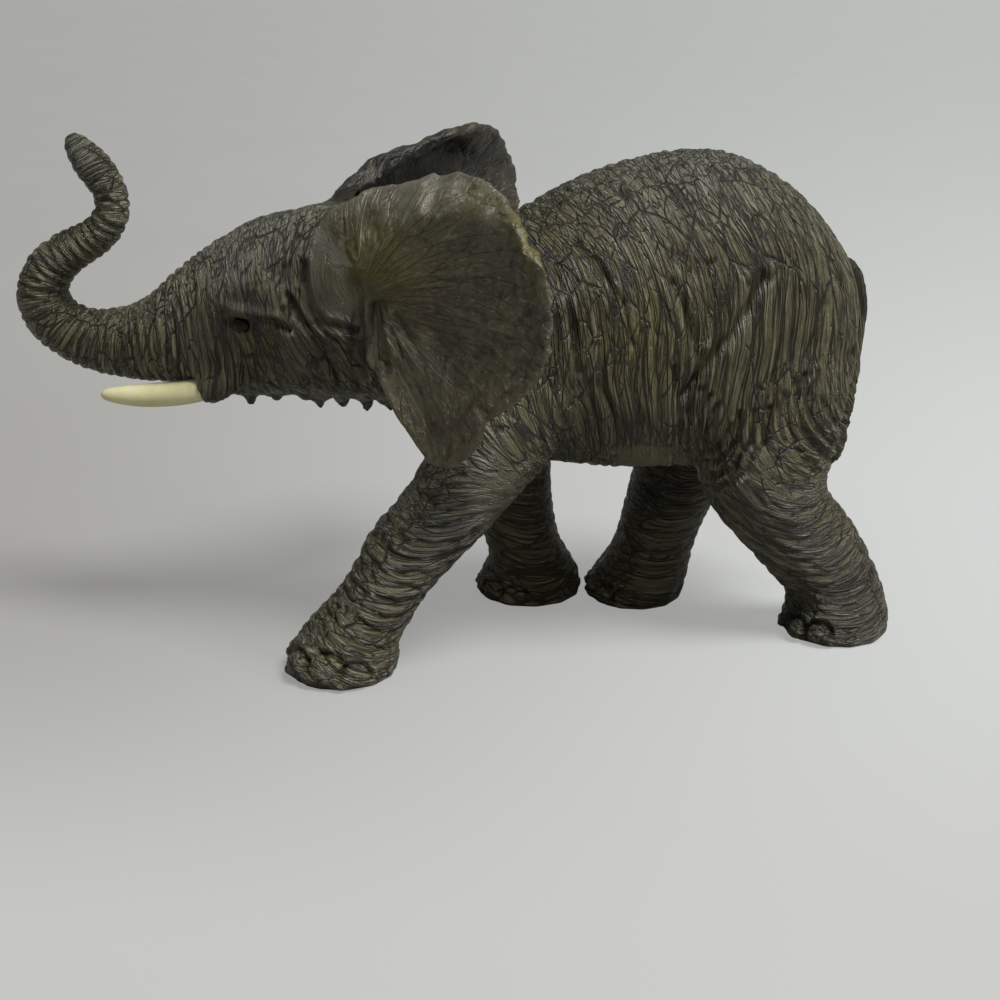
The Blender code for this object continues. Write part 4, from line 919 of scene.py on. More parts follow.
class Blank:
    """The castings of the hide as one closed mesh, with each vertex's region."""

    def __init__(self, nodes: dict[str, bpy.types.Object], voxel: float) -> None:
        """Joins, remeshes and smooths the castings.

        Args:
            nodes: The CAD nodes by name.
            voxel: The size of the remesh, in mm.
        """
        self.object = self._remeshed(self._joined(nodes), voxel)
        mesh = self.object.data
        count = len(mesh.vertices)
        flat = np.empty(count * 3, np.float32)
        mesh.vertices.foreach_get("co", flat)
        self.points = flat.reshape(-1, 3).astype(float) / MM - FIGURE_SHIFT
        pairs = np.empty(len(mesh.edges) * 2, np.int32)
        mesh.edges.foreach_get("vertices", pairs)
        self.links = Links(pairs.reshape(-1, 2), count)
        corners = np.empty(len(mesh.loops), np.int32)
        mesh.loops.foreach_get("vertex_index", corners)
        self.quads = corners.reshape(-1, 4)
        self.labels = np.zeros(count, np.int64)
        self._smooth(nodes)
        LOG.info("blank has %d vertices", count)

    @staticmethod
    def _joined(nodes: dict[str, bpy.types.Object]) -> bmesh.types.BMesh:
        """One bmesh of all castings, each swollen so that the running gaps close."""
        whole = bmesh.new()
        for region in REGIONS:
            part = bmesh.new()
            part.from_mesh(nodes[region.value].data)
            bmesh.ops.remove_doubles(part, verts=part.verts, dist=MERGE * MM)
            if region in EARS:
                bmesh.ops.join_triangles(
                    part, faces=part.faces, angle_face_threshold=1.2, angle_shape_threshold=1.2
                )
                for _ in range(2):
                    bmesh.ops.subdivide_edges(
                        part, edges=part.edges, cuts=1, use_grid_fill=True, smooth=1.0,
                        smooth_falloff="LINEAR",
                    )
            part.normal_update()
            for vertex in part.verts:
                foot = region in LEGS and vertex.co.z < FOOT_HEIGHT * MM
                vertex.co += vertex.normal * (0.0 if foot else SWELL * MM)
            scratch = bpy.data.meshes.new("scratch")
            part.to_mesh(scratch)
            part.free()
            whole.from_mesh(scratch)
            bpy.data.meshes.remove(scratch)
        return whole

    @staticmethod
    def _remeshed(whole: bmesh.types.BMesh, voxel: float) -> bpy.types.Object:
        """The joined castings as one even skin of quads."""
        mesh = bpy.data.meshes.new("blank")
        whole.to_mesh(mesh)
        whole.free()
        blank = bpy.data.objects.new("blank", mesh)
        bpy.context.scene.collection.objects.link(blank)
        remesh = blank.modifiers.new("Remesh", "REMESH")
        remesh.mode = "VOXEL"
        remesh.voxel_size = voxel * MM
        bpy.context.view_layer.update()
        made = bpy.data.meshes.new_from_object(blank.evaluated_get(bpy.context.evaluated_depsgraph_get()))
        blank.modifiers.clear()
        blank.data = made
        return blank

    def _smooth(self, nodes: dict[str, bpy.types.Object]) -> None:
        """Takes the facets out, keeps what is fine, and puts the lost volume back."""
        tree, owners = self._cad_tree(nodes)
        found = [tree.find_nearest(Vector(p)) for p in (self.points + FIGURE_SHIFT) * MM]
        self.labels = owners[np.array([hit[2] for hit in found])]
        keep = self._keep()
        rough = self.links.smooth(self.points, KEPT_STEPS)
        fine = self.links.smooth(rough, SMOOTH_STEPS - KEPT_STEPS, 0.5 * (1 - keep)[:, None])
        normals = self.normals(fine)
        hits = [tree.find_nearest(Vector(p)) for p in (fine + FIGURE_SHIFT) * MM]
        surface = np.array([hit[0][:] for hit in hits]) / MM - FIGURE_SHIFT
        gap = np.clip(((surface - fine) * normals).sum(axis=1), -1.5, 1.5)
        gap = self.links.smooth(gap, RESTORE_STEPS)
        self.points = fine + normals * gap[:, None]

    def _keep(self) -> np.ndarray:
        """How much of each place's shape the smoothing leaves: 1 at small forms, 0 on the body."""
        head = to_head(self.points)
        mirrored = np.stack((head[:, 0], np.abs(head[:, 1]), head[:, 2]), axis=1)
        keep = np.exp(-(((mirrored - TUSK_ROOT) ** 2).sum(axis=1)) / (2 * TUSK_REACH**2))
        label = self.labels
        for region, amount in KEPT_SHAPES:
            keep = np.maximum(keep, np.where(label == REGIONS.index(region), amount, 0.0))
        feet = np.isin(label, [REGIONS.index(leg) for leg in LEGS])
        keep = np.maximum(keep, np.where(feet, 1 - smoothstep(self.points[:, 2], 4.5, 7.5), 0.0))
        throat = (label == REGIONS.index(Region.HEAD)) & (head[:, 2] < -18.5) & (np.abs(head[:, 1]) < 3.5)
        keep = np.maximum(keep, np.where(throat, 0.95, 0.0))
        return np.clip(self.links.smooth(keep, 6), 0.0, 1.0)

    @staticmethod
    def _cad_tree(nodes: dict[str, bpy.types.Object]) -> tuple[BVHTree, np.ndarray]:
        """A search tree over the castings, and the region of each of its faces."""
        points: list[Vector] = []
        faces: list[tuple[int, ...]] = []
        owners: list[int] = []
        for index, region in enumerate(REGIONS):
            mesh = nodes[region.value].data
            start = len(points)
            points += [vertex.co.copy() for vertex in mesh.vertices]
            faces += [tuple(start + i for i in polygon.vertices) for polygon in mesh.polygons]
            owners += [index] * len(mesh.polygons)
        return BVHTree.FromPolygons(points, faces), np.array(owners)

    def normals(self, points: np.ndarray) -> np.ndarray:
        """Outward normals of the skin at each vertex."""
        corners = points[self.quads]
        face = np.cross(corners[:, 2] - corners[:, 0], corners[:, 3] - corners[:, 1])
        total = np.zeros_like(points)
        for corner in range(4):
            for axis in range(3):
                total[:, axis] += np.bincount(self.quads[:, corner], face[:, axis], len(points))
        return total / np.maximum(np.linalg.norm(total, axis=1, keepdims=True), 1e-9)

    def weights(self) -> np.ndarray:
        """How much each vertex belongs to each region, blended across the seams."""
        shares = np.zeros((len(self.points), len(REGIONS)), np.float32)
        shares[np.arange(len(self.points)), self.labels] = 1.0
        firm = self.links.smooth(shares, LABEL_STEPS)
        self.labels = firm.argmax(axis=1)
        for _ in range(3):
            stray = self._strays()
            if not stray.any():
                break
            firm[stray, self.labels[stray]] = 0.0
            firm = np.where(stray[:, None], self.links.smooth(firm, 12), firm)
            self.labels = firm.argmax(axis=1)
        return self.links.smooth(shares, WEIGHT_STEPS)

    def _strays(self) -> np.ndarray:
        """Vertices that lie in a small patch cut off from the main patch of their region."""
        links = self.links
        source = np.repeat(np.arange(len(self.points)), links.counts)
        same = self.labels[source] == self.labels[links.target]
        group = np.arange(len(self.points))
        while True:
            before = group
            near = np.where(same, group[links.target], group[source])
            group = np.minimum(group, np.minimum.reduceat(near, links.starts))
            group = group[group]
            if np.array_equal(before, group):
                break
        sizes = np.bincount(group, minlength=len(group))
        stray = np.zeros(len(group), bool)
        for index in range(len(REGIONS)):
            chosen = self.labels == index
            if chosen.any():
                main = int(sizes[group[chosen]].max())
                stray |= chosen & (sizes[group] < main)
        return stray


def to_head(points: np.ndarray) -> np.ndarray:
    """Figure places in the head's own frame, whose origin is the neck."""
    cos, sin = math.cos(-HEAD_TURN), math.sin(-HEAD_TURN)
    x, y, z = (points - NECK).T
    return np.stack((x * cos - y * sin, x * sin + y * cos, z), axis=1)


class Sculptor:
    """Works out the skin's flow, its creases and folds, and the painted masks."""

    def __init__(self, blank: Blank) -> None:
        """Measures the blank.

        Args:
            blank: The smoothed blank.
        """
        self.blank = blank
        self.points = blank.points
        self.head = to_head(blank.points)
        self.shares = blank.weights()
        self.normal = blank.normals(blank.points)
        mirrored = self.points.copy()
        mirrored[:, 1] = -np.abs(mirrored[:, 1])
        near = LENS.pixels(self.points)
        self.pixels = np.where(self.share(Region.TORSO)[:, None] > 0.5, LENS.pixels(mirrored), near)
        x, y, z = self.head.T
        y = -np.abs(y)
        cos, sin = math.cos(HEAD_TURN), math.sin(HEAD_TURN)
        self.mirrored = LENS.pixels(np.stack((x * cos - y * sin, x * sin + y * cos, z), axis=1) + NECK)
        head_like = self.share(*HEADS, Region.TRUNK)
        self.pixels = np.where(head_like[:, None] > 0.5, self.mirrored, self.pixels)
        self.flow = self._flow()
        self.strength = np.ones(len(self.points))
        self.net = np.zeros(len(self.points))
        self.relief = np.zeros(len(self.points))
        self.paint = np.zeros((len(self.points), 4))

    def share(self, *regions: Region) -> np.ndarray:
        """How much each vertex belongs to some regions together."""
        return self.shares[:, [REGIONS.index(region) for region in regions]].sum(axis=1)

    def _flow(self) -> np.ndarray:
        """Across, along and outward coordinates of the skin, in mm."""
        x, y, z = self.points.T
        sweep = 0.83 * np.clip(z - 50.0, 0.0, 60.0) ** 2 / 90.0
        sweep = sweep * (1 - smoothstep(x, 18.0, 52.0))
        torso = np.stack((x + sweep, z, y), axis=1)
        total = torso * self.share(Region.TORSO, Region.TAIL)[:, None]
        for region in LEGS:
            length, offset = along_line(self.points, LEG_LINES[region])
            ring = LEG_RING_START[region] - length
            total += np.stack((ring, offset + z * 0.3, y), axis=1) * self.share(region)[:, None]
        length, offset = along_line(self.head, TRUNK_LINE)
        trunk = np.stack((-60.0 - length, offset, self.head[:, 1]), axis=1)
        total += trunk * self.share(Region.TRUNK)[:, None]
        total += self._head_flow() * self.share(*HEADS)[:, None]
        total += self._ear_flow() * self.share(*EARS)[:, None]
        drawn = FlowField(self.blank, self.pixels, self.normal, total[:, :2]).solve(FLOW_STEPS)
        ears = self.share(*EARS)[:, None]
        return drawn * (1 - ears) + total * ears

    def _head_flow(self) -> np.ndarray:
        """Rings round the temple, which open into rings round the trunk."""
        hx, hy, hz = self.head.T
        reach = np.sqrt((hx - TEMPLE[0]) ** 2 + (0.8 * (hz - TEMPLE[2])) ** 2 + 9.0)
        front = smoothstep(-hx, 44.0, 60.0)
        across = -(1 - front) * (reach + 37.0) + front * (hx - 1.0)
        angle = np.arctan2(hz - TEMPLE[2], -(hx - TEMPLE[0]))
        along = (1 - front) * angle * 12.0 + front * hz
        return np.stack((across, along, hy), axis=1)

    def _ear_flow(self) -> np.ndarray:
        """Veins that fan out from the ear's root."""
        gap = self.head[:, [0, 2]] - EAR_ROOT[[0, 2]]
        angle = np.arctan2(gap[:, 1], gap[:, 0])
        reach = np.linalg.norm(gap, axis=1)
        return np.stack((angle * 22.0, reach, self.head[:, 1]), axis=1)

    def sculpt(self) -> np.ndarray:
        """Displaces the blank.

        Returns:
            The new places of its vertices.
        """
        warp = (0.5 * unit_noise(self.points / 9.0, 11), 1.2 * unit_noise(self.points / 9.0, 12))
        flow = self.flow + np.stack((*warp, np.zeros(len(self.points))), axis=1)
        height = self._body_folds(flow) + self._leg_folds(flow) + self._trunk_rings()
        height += self._head_net(flow) + self._ear_forms()
        calm = self._bare_patches()
        self.strength *= calm
        height = height * calm + self._grooves() + self._nails()
        local = height - self.blank.links.smooth(height, RELIEF_STEPS)
        self.relief = np.clip(local / (2.6 * local.std()), -1.0, 1.0)
        sole = smoothstep(self.points[:, 2], 0.15, 1.2)
        self._paint()
        moved = self.points + self.normal * (height * sole)[:, None]
        moved = moved + self._ear_bends() + self._ear_rim() + self._eye_socket()
        return moved + np.outer(self._dewlap(), (0.0, 0.0, -1.0))

    def _family(self, share: np.ndarray, flow: np.ndarray, crease: Crease) -> np.ndarray:
        """One family of creases where a share is held, about 0 on average and 0 elsewhere."""
        chosen = np.flatnonzero(share > 0.004)
        height = np.zeros(len(share))
        place = turned(flow[chosen], crease.turn, crease.across, crease.along)
        found = cracks(place, crease.seed, crease.width)
        height[chosen] = share[chosen] * crease.depth * (found - found.mean())
        return height

    def _waves(self, share: np.ndarray, flow: np.ndarray, crease: Crease) -> np.ndarray:
        """Long creases that run side by side, each wandering and fading on its own way."""
        chosen = np.flatnonzero(share > 0.004)
        place = turned(flow[chosen], crease.turn, crease.across, crease.along)
        slow = place * np.array((0.34, 1.0, 1.0))
        wander = unit_noise(slow, crease.seed) + 0.5 * unit_noise(slow * 2.1, crease.seed + 100)
        phase = place[:, 0] + crease.width * wander
        row = np.abs(np.sin(math.pi * phase)) ** 0.62 - 0.72
        patchy = unit_noise(slow * np.array((1.6, 1.4, 1.4)), crease.seed + 200)
        fade = np.clip(0.62 + 0.75 * patchy, 0.08, 1.2)
        height = np.zeros(len(share))
        height[chosen] = share[chosen] * crease.depth * fade * row
        return height

    def _body_folds(self, flow: np.ndarray) -> np.ndarray:
        """The torso's long creases, which cross each other at a slant."""
        share = self.share(Region.TORSO, Region.TAIL)
        rump = smoothstep(self.points[:, 0], 14.0, 40.0)
        above = smoothstep(self.points[:, 2], 70.0, 90.0)
        net = np.clip(rump + 0.7 * above, 0.0, 1.0)
        limbs = self.share(*LEGS, Region.TRUNK)
        self.net = np.clip(share * net * 0.6 + 0.9 * self.share(*HEADS) + 0.65 * limbs, 0.0, 1.0)
        height = self._waves(share * (1 - 0.55 * net), flow, LONG_FOLDS)
        height += self._waves(share * (1 - 0.45 * net), flow, FINE_FOLDS)
        height += self._family(share * (0.55 + 0.45 * net), flow, SLANT_PLATES)
        height += self._family(share * (0.35 + 0.65 * net), flow, COUNTER_PLATES)
        crest = np.exp(-((self.points[:, 1] / 8.0) ** 2)) * above
        phase = self.points[:, 0] / CREST_PITCH + 0.35 * unit_noise(self.points / 5.0, 26)
        row = np.abs(np.sin(math.pi * phase)) ** 0.6
        height += share * crest * 0.62 * (row - 0.72)
        return height + self._family(share, flow, CROSS_PLATES)

    def _leg_folds(self, flow: np.ndarray) -> np.ndarray:
        """Folds of skin round the legs, deepest on the reaching foreleg's shin."""
        height = np.zeros(len(self.points))
        z = self.points[:, 2]
        waver = 0.42 * unit_noise(self.points / 6.0, 31) + 0.25 * unit_noise(self.points / 3.0, 32)
        swing = 0.65 + 0.35 * unit_noise(self.points / 5.0, 33)
        for leg in LEG_FOLDS:
            share = self.share(leg.region)
            band = smoothstep(z, leg.low - 3, leg.low + 5) * (1 - smoothstep(z, leg.high - 12, leg.high + 4))
            wave = np.abs(np.sin(math.pi * (flow[:, 0] / leg.pitch + waver)))
            ring = wave**0.55 - 0.72
            height += share * leg.depth * band * swing * ring
            height += self._family(share * (1 - 0.7 * band), flow, LEG_PLATES)
            height += self._family(share, flow, LEG_CROSS_PLATES)
        return height

    def _trunk_rings(self) -> np.ndarray:
        """Rings round the trunk, cut into blocks on its lower part's upper side."""
        share = self.share(Region.TRUNK)
        length, offset = along_line(self.head, TRUNK_LINE)
        waver = 0.10 * unit_noise(self.points / 4.0, 41)
        wave = np.abs(np.sin(math.pi * (length / RING_PITCH + waver)))
        ring = wave**0.6 - 0.70
        tip = smoothstep(length, 66.0, 76.0)
        deep = (0.70 + 0.16 * unit_noise(self.points / 3.0, 42)) * (1 - 0.6 * tip)
        angle = np.arctan2(self.head[:, 1], offset)
        row = np.floor(length / RING_PITCH + waver)
        block = np.abs(np.sin(angle * 7.0 + row * 1.9))
        blocks = np.clip(block / 0.35, 0, 1) - 1.0
        low = 1 - smoothstep(length, 22.0, 34.0)
        return share * (deep * ring + 0.16 * low * blocks)

    def _head_net(self, flow: np.ndarray) -> np.ndarray:
        """The fine net of the face, denser on the forehead, with cheek creases towards the ear."""
        share = self.share(*HEADS)
        cheek = smoothstep(-self.head[:, 2], 0.0, 10.0)
        front = smoothstep(-self.head[:, 0], 42.0, 54.0)
        phase = flow[:, 0] / FACE_PITCH + 0.25 * unit_noise(self.points / 4.0, 53)
        rings = np.abs(np.sin(math.pi * phase)) ** 0.55 - 0.75
        height = share * 0.75 * front * rings
        height += self._family(share * (0.6 + 0.4 * cheek) * (1 - front), flow, FACE_PLATES)
        return height + self._family(share * (1 - 0.5 * cheek), flow, FACE_CROSS_PLATES)

    def _ear_forms(self) -> np.ndarray:
        """Veins, a lumpy rim and soft dents on the ears."""
        share = self.share(*EARS)
        gap = self.head[:, [0, 2]] - EAR_ROOT[[0, 2]]
        reach = np.linalg.norm(gap, axis=1)
        rim = smoothstep(reach, 27.0, 38.0)
        lump = unit_noise(self.points / 3.2, 62)
        dent = unit_noise(self.points / 8.0, 63)
        band = smoothstep(reach, 3.0, 9.0) * (1 - smoothstep(reach, 26.0, 38.0))
        height = self._family(share * band, self.flow, EAR_PLATES)
        height += share * (0.30 * rim * lump + 0.14 * dent)
        for line in EAR_LINES:
            gap = line_distance(self.mirrored, line.pixels) / PIXELS_PER_MM
            height -= share * line.depth * np.exp(-((gap / line.width) ** 2))
        return height

    def _ear_bends(self) -> np.ndarray:
        """How far the sheet of each ear bends out of its plane, both of its faces alike."""
        moved = np.zeros((len(self.points), 3))
        for region, pixels in ((Region.EAR_LEFT, self.mirrored), (Region.EAR_RIGHT, self.pixels)):
            share = self.share(region)
            for bend in EAR_BENDS:
                if region in bend.regions:
                    gap = line_distance(pixels, bend.pixels) / PIXELS_PER_MM
                    moved[:, 1] += EAR_BEND_DEPTH * share * bend.depth * np.exp(-((gap / bend.width) ** 2))
        return moved

    def _ear_rim(self) -> np.ndarray:
        """How far the ears' rims are drawn in or out in the plane of the ear."""
        gap = self.head[:, [0, 2]] - EAR_ROOT[[0, 2]]
        reach = np.linalg.norm(gap, axis=1)
        way = np.zeros((len(gap), 3))
        way[:, [0, 2]] = gap / np.maximum(reach, 1.0)[:, None]
        wave = 0.55 * unit_noise(self.points / 4.6, 64) + 0.35 * unit_noise(self.points / 2.4, 65)
        moved = wave * smoothstep(reach, 14.0, 26.0)
        for place, spread, amount in EAR_NOTCHES:
            away = ((self.mirrored - np.array(place)) ** 2).sum(axis=1) / spread**2
            moved -= amount * np.exp(-away) * (self.head[:, 1] < 0)
        return way * (moved * self.share(*EARS))[:, None]

    def _eye_socket(self) -> np.ndarray:
        """Sinks the skin over each eye bead, under a brow that hangs a little over it."""
        mirrored = np.stack((self.head[:, 0], np.abs(self.head[:, 1]), self.head[:, 2]), axis=1)
        gap = mirrored - EYE
        slant = gap[:, 2] + 0.12 * gap[:, 0]
        away = np.sqrt((gap[:, 0] / 1.7) ** 2 + (slant / 0.62) ** 2 + (gap[:, 1] * 0.4) ** 2)
        sink = 0.65 * (1 - smoothstep(away, 1.0, 2.4)) - 0.50 * np.exp(-(((away - 3.0) / 0.8) ** 2))
        brow = 1.3 * np.exp(-(((gap[:, 0] - 2.0) / 6.0) ** 2) - ((slant - 3.0) / 1.1) ** 2)
        bag = 0.45 * np.exp(-((gap[:, 0] / 3.0) ** 2) - ((slant + 2.8) / 0.9) ** 2)
        near = (np.abs(gap[:, 1]) < 6.0) * self.share(Region.HEAD)
        return self.normal * (near * (brow + bag - sink))[:, None]

    def _nails(self) -> np.ndarray:
        """Toenails that stand out from the feet under an arched groove."""
        height = np.zeros(len(self.points))
        for nail in NAILS:
            gap = (LENS.pixels(self.points) - np.array(nail.pixel)) / np.array(nail.radii)
            reach = np.linalg.norm(gap, axis=1)
            share = self.share(nail.region) * (self.normal[:, 1] < 0.3)
            upper = smoothstep(-gap[:, 1], -0.5, 0.3)
            dome = 0.9 * np.clip(1 - reach**2, 0.0, 1.0) ** 0.6
            arch = np.exp(-(((reach - 1.12) / 0.16) ** 2)) - 0.6 * np.exp(-(((reach - 1.5) / 0.2) ** 2))
            height += share * (dome - 0.75 * upper * arch)
        return height

    def _dewlap(self) -> np.ndarray:
        """Skin of the throat drawn down into a ragged hem of blunt teeth."""
        hem = (1 - smoothstep(np.abs(self.head[:, 1]), 1.0, 4.2)) * self.share(Region.HEAD)
        under = smoothstep(-self.normal[:, 2], -0.1, 0.5) * hem
        tooth = np.zeros(len(self.points))
        for tip, reach in DEWLAP_TEETH:
            tooth += TOOTH_DEPTH * reach * np.exp(-(((self.mirrored[:, 0] - tip) / 7.5) ** 4))
        return under * tooth * (self.mirrored[:, 1] > DEWLAP_TOP_PX)

    def _bare_patches(self) -> np.ndarray:
        """1 on creased skin and near 0 on the patches that are left bare."""
        calm = np.ones(len(self.points))
        for bare in BARES:
            gap = self.pixels - np.array(bare.pixel)
            angle = math.radians(bare.turn)
            u = gap[:, 0] * math.cos(angle) + gap[:, 1] * math.sin(angle)
            v = gap[:, 1] * math.cos(angle) - gap[:, 0] * math.sin(angle)
            away = (u / bare.radii[0]) ** 4 + (v / bare.radii[1]) ** 4
            ragged = away * (1.0 + 0.9 * unit_noise(self.points / 2.6, 91))
            inside = (1 - smoothstep(ragged, 0.25, 1.6)) * (self.share(*bare.regions) > 0.3)
            calm = np.minimum(calm, 1 - bare.amount * inside)
        return calm

    def _grooves(self) -> np.ndarray:
        """The deep creases that are drawn one by one."""
        height = np.zeros(len(self.points))
        facing = smoothstep(np.abs(self.points[:, 1]), 3.0, 7.0)
        waver = 1.6 * unit_noise(self.points / 5.0, 71)
        for groove in GROOVES:
            gap = line_distance(self.pixels, groove.pixels) / PIXELS_PER_MM + waver * 0.3
            share = self.share(*groove.regions) * facing
            lip = 0.22 * np.exp(-(((gap - 2.0 * groove.width) / groove.width) ** 2))
            cut = lip - np.exp(-((gap / groove.width) ** 2))
            height += GROOVE_DEPTH * share * groove.depth * cut
        return height

    def _paint(self) -> None:
        """Fills the painted masks, with their painted shade and painted light, from the spots, broken up by
        noise.
        """
        rough = 0.75 + 0.5 * unit_noise(self.points / 3.5, 81) + 0.3 * unit_noise(self.points / 1.4, 82)
        for spot in SPOTS:
            gap = (self.pixels - np.array(spot.pixel)) / np.array(spot.radii)
            soft = np.exp(-(gap**2).sum(axis=1)) * self.share(*spot.regions)
            held = self.paint[:, spot.paint.value]
            np.maximum(held, spot.amount * soft * np.clip(rough, 0.2, 1.3), out=held)
        self.paint = np.clip(self.paint, 0.0, 1.0)


class Parting:
    """Parts the sculpted blank into one closed piece for each casting."""

    def __init__(self, blank: Blank, sculptor: Sculptor, points: np.ndarray) -> None:
        """Writes the sculpted places and masks to the blank's mesh.

        Args:
            blank: The blank.
            sculptor: Its flow, creases and paint.
            points: The new places of its vertices.
        """
        self.blank = blank
        self.points = points
        self.normals = blank.normals(points)
        self.labels = self._tidied(blank.labels[blank.quads])
        mesh = blank.object.data
        for attribute in list(mesh.attributes):
            if attribute.name == "sharp_face":
                mesh.attributes.remove(attribute)
        flow = mesh.attributes.new("flow", "FLOAT_VECTOR", "POINT")
        flow.data.foreach_set("vector", sculptor.flow.astype(np.float32).ravel())
        paint = mesh.attributes.new("paint", "FLOAT_COLOR", "POINT")
        paint.data.foreach_set("color", sculptor.paint.astype(np.float32).ravel())
        ears = sculptor.share(*EARS)
        detail = np.stack((sculptor.strength, sculptor.relief * 0.5 + 0.5, ears, sculptor.net), axis=1)
        held = mesh.attributes.new("detail", "FLOAT_COLOR", "POINT")
        held.data.foreach_set("color", np.clip(detail, 0, 1).astype(np.float32).ravel())

    @staticmethod
    def _tidied(corners: np.ndarray) -> np.ndarray:
        """The region of each face, from the regions of its corners."""
        faces = np.sort(corners, axis=1)
        return np.where(faces[:, 1] == faces[:, 2], faces[:, 1], faces[:, 0])

    def piece(self, region: Region, material: bpy.types.Material) -> bpy.types.Object:
        """Cuts out one region, tucks its edges under its neighbours and closes it.

        Args:
            region: Which region.
            material: Its finish.

        Returns:
            The finished piece.
        """
        quads = self.blank.quads
        inside = self.labels == REGIONS.index(region)
        ring = np.full(len(self.points), -1)
        ring[quads[inside]] = 0
        kept = inside.copy()
        for step in range(1, len(STRIP_DEPTHS)):
            grown = (ring[quads] >= 0).any(axis=1) & ~kept
            corners = quads[grown].ravel()
            fresh = corners[ring[corners] < 0]
            ring[fresh] = step
            kept |= grown
        depth = np.array(STRIP_DEPTHS)[np.maximum(ring, 0)]
        places = self.points - self.normals * depth[:, None]
        mesh = self.blank.object.data.copy()
        mesh.vertices.foreach_set("co", ((places + FIGURE_SHIFT) * MM).astype(np.float32).ravel())
        bm = bmesh.new()
        bm.from_mesh(mesh)
        bpy.data.meshes.remove(mesh)
        bm.faces.ensure_lookup_table()
        bmesh.ops.delete(bm, geom=[bm.faces[i] for i in np.flatnonzero(~kept)], context="FACES")
        edges = [edge for edge in bm.edges if edge.is_boundary]
        caps = bmesh.ops.holes_fill(bm, edges=edges, sides=0)["faces"]
        if caps:
            bmesh.ops.poke(bm, faces=caps)
        bmesh.ops.recalc_face_normals(bm, faces=bm.faces)
        return finished(f"{region.value}_hide", bm, material, region.value)


def finished(name: str, bm: bmesh.types.BMesh, material: bpy.types.Material, node: str) -> bpy.types.Object:
    """Writes a piece, shades it smooth, hangs it under the root and hides the CAD node it replaces.

    Args:
        name: The piece's name.
        bm: Its shape, which is freed.
        material: Its finish.
        node: The CAD node it replaces.

    Returns:
        The piece.
    """
    open_edges = sum(1 for edge in bm.edges if not edge.is_manifold)
    mesh = bpy.data.meshes.new(name)
    bm.to_mesh(mesh)
    bm.free()
    mesh.shade_smooth()
    mesh.materials.clear()
    mesh.materials.append(material)
    piece = bpy.data.objects.new(name, mesh)
    bpy.context.scene.collection.objects.link(piece)
    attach(piece, "root")
    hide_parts(node)
    LOG.info("%s: %d faces, %d open edges", name, len(mesh.polygons), open_edges)
    return piece


class Nodes:
    """Lays shader nodes into a tree with short calls."""

    def __init__(self, tree: bpy.types.NodeTree) -> None:
        """Starts on a tree.

        Args:
            tree: A material's tree or a node group.
        """
        self.tree = tree

    def add(self, kind: str, inputs: dict | None = None, **settings: object) -> bpy.types.Node:
        """Adds a node.

        Args:
            kind: Its type's name, without ShaderNode.
            inputs: Socket names or numbers to a value or to the socket that feeds it.
            settings: Its own properties.

        Returns:
            The node.
        """
        node = self.tree.nodes.new(kind if kind.startswith("NodeGroup") else f"ShaderNode{kind}")
        for key, value in settings.items():
            setattr(node, key, value)
        for key, value in (inputs or {}).items():
            if isinstance(value, bpy.types.NodeSocket):
                self.tree.links.new(value, node.inputs[key])
            else:
                node.inputs[key].default_value = value
        return node

    def math(self, operation: str, *values: object, clamp: bool = False) -> bpy.types.NodeSocket:
        """A math node's result."""
        return self.add("Math", dict(enumerate(values)), operation=operation, use_clamp=clamp).outputs[0]

    def most(self, first: object, second: object) -> bpy.types.NodeSocket:
        """The larger of two values."""
        return self.math("MAXIMUM", first, second)

    def times(self, first: object, second: object) -> bpy.types.NodeSocket:
        """The product of two values."""
        return self.math("MULTIPLY", first, second)

    def mix(self, factor: object, first: object, second: object) -> bpy.types.NodeSocket:
        """A colour mix's result."""
        return self.add("Mix", {0: factor, 6: first, 7: second}, data_type="RGBA").outputs[2]

    def span(
        self, value: object, low: float, high: float, to_low: float = 0.0, to_high: float = 1.0
    ) -> bpy.types.NodeSocket:
        """A value mapped smoothly from one span to another.

        Args:
            value: What is mapped.
            low: Where the span starts.
            high: Where it ends.
            to_low: What low becomes.
            to_high: What high becomes.

        Returns:
            The mapped value.
        """
        node = self.add(
            "MapRange", {0: value, 1: low, 2: high, 3: to_low, 4: to_high}, interpolation_type="SMOOTHSTEP"
        )
        return node.outputs[0]


def flow_space(nodes: "Nodes", inward: object) -> bpy.types.NodeSocket:
    """The flow turned by a group's Turn and scaled to its Across and Along."""
    turn = {"Vector": inward["Flow"], "Angle": inward["Turn"]}
    spun = nodes.add("VectorRotate", turn, rotation_type="Z_AXIS")
    across = nodes.math("DIVIDE", 1.0, inward["Across"])
    along = nodes.math("DIVIDE", 1.0, inward["Along"])
    scale = nodes.add("CombineXYZ", {0: across, 1: along, 2: along})
    return nodes.add("VectorMath", {0: spun.outputs[0], 1: scale.outputs[0]}, operation="MULTIPLY").outputs[0]


def line_tree(name: str) -> tuple[bpy.types.NodeTree, "Nodes", object]:
    """A new group with the sockets that both kinds of lines share.

    Args:
        name: The group's name.

    Returns:
        The group, its nodes and its input sockets.
    """
    tree = bpy.data.node_groups.new(name, "ShaderNodeTree")
    tree.interface.new_socket("Flow", in_out="INPUT", socket_type="NodeSocketVector")
    for socket, value in (("Turn", 0.0), ("Across", 1.0), ("Along", 4.0), ("Width", 0.1)):
        tree.interface.new_socket(socket, in_out="INPUT", socket_type="NodeSocketFloat").default_value = value
    tree.interface.new_socket("Line", in_out="OUTPUT", socket_type="NodeSocketFloat")
    nodes = Nodes(tree)
    return tree, nodes, nodes.add("NodeGroupInput").outputs


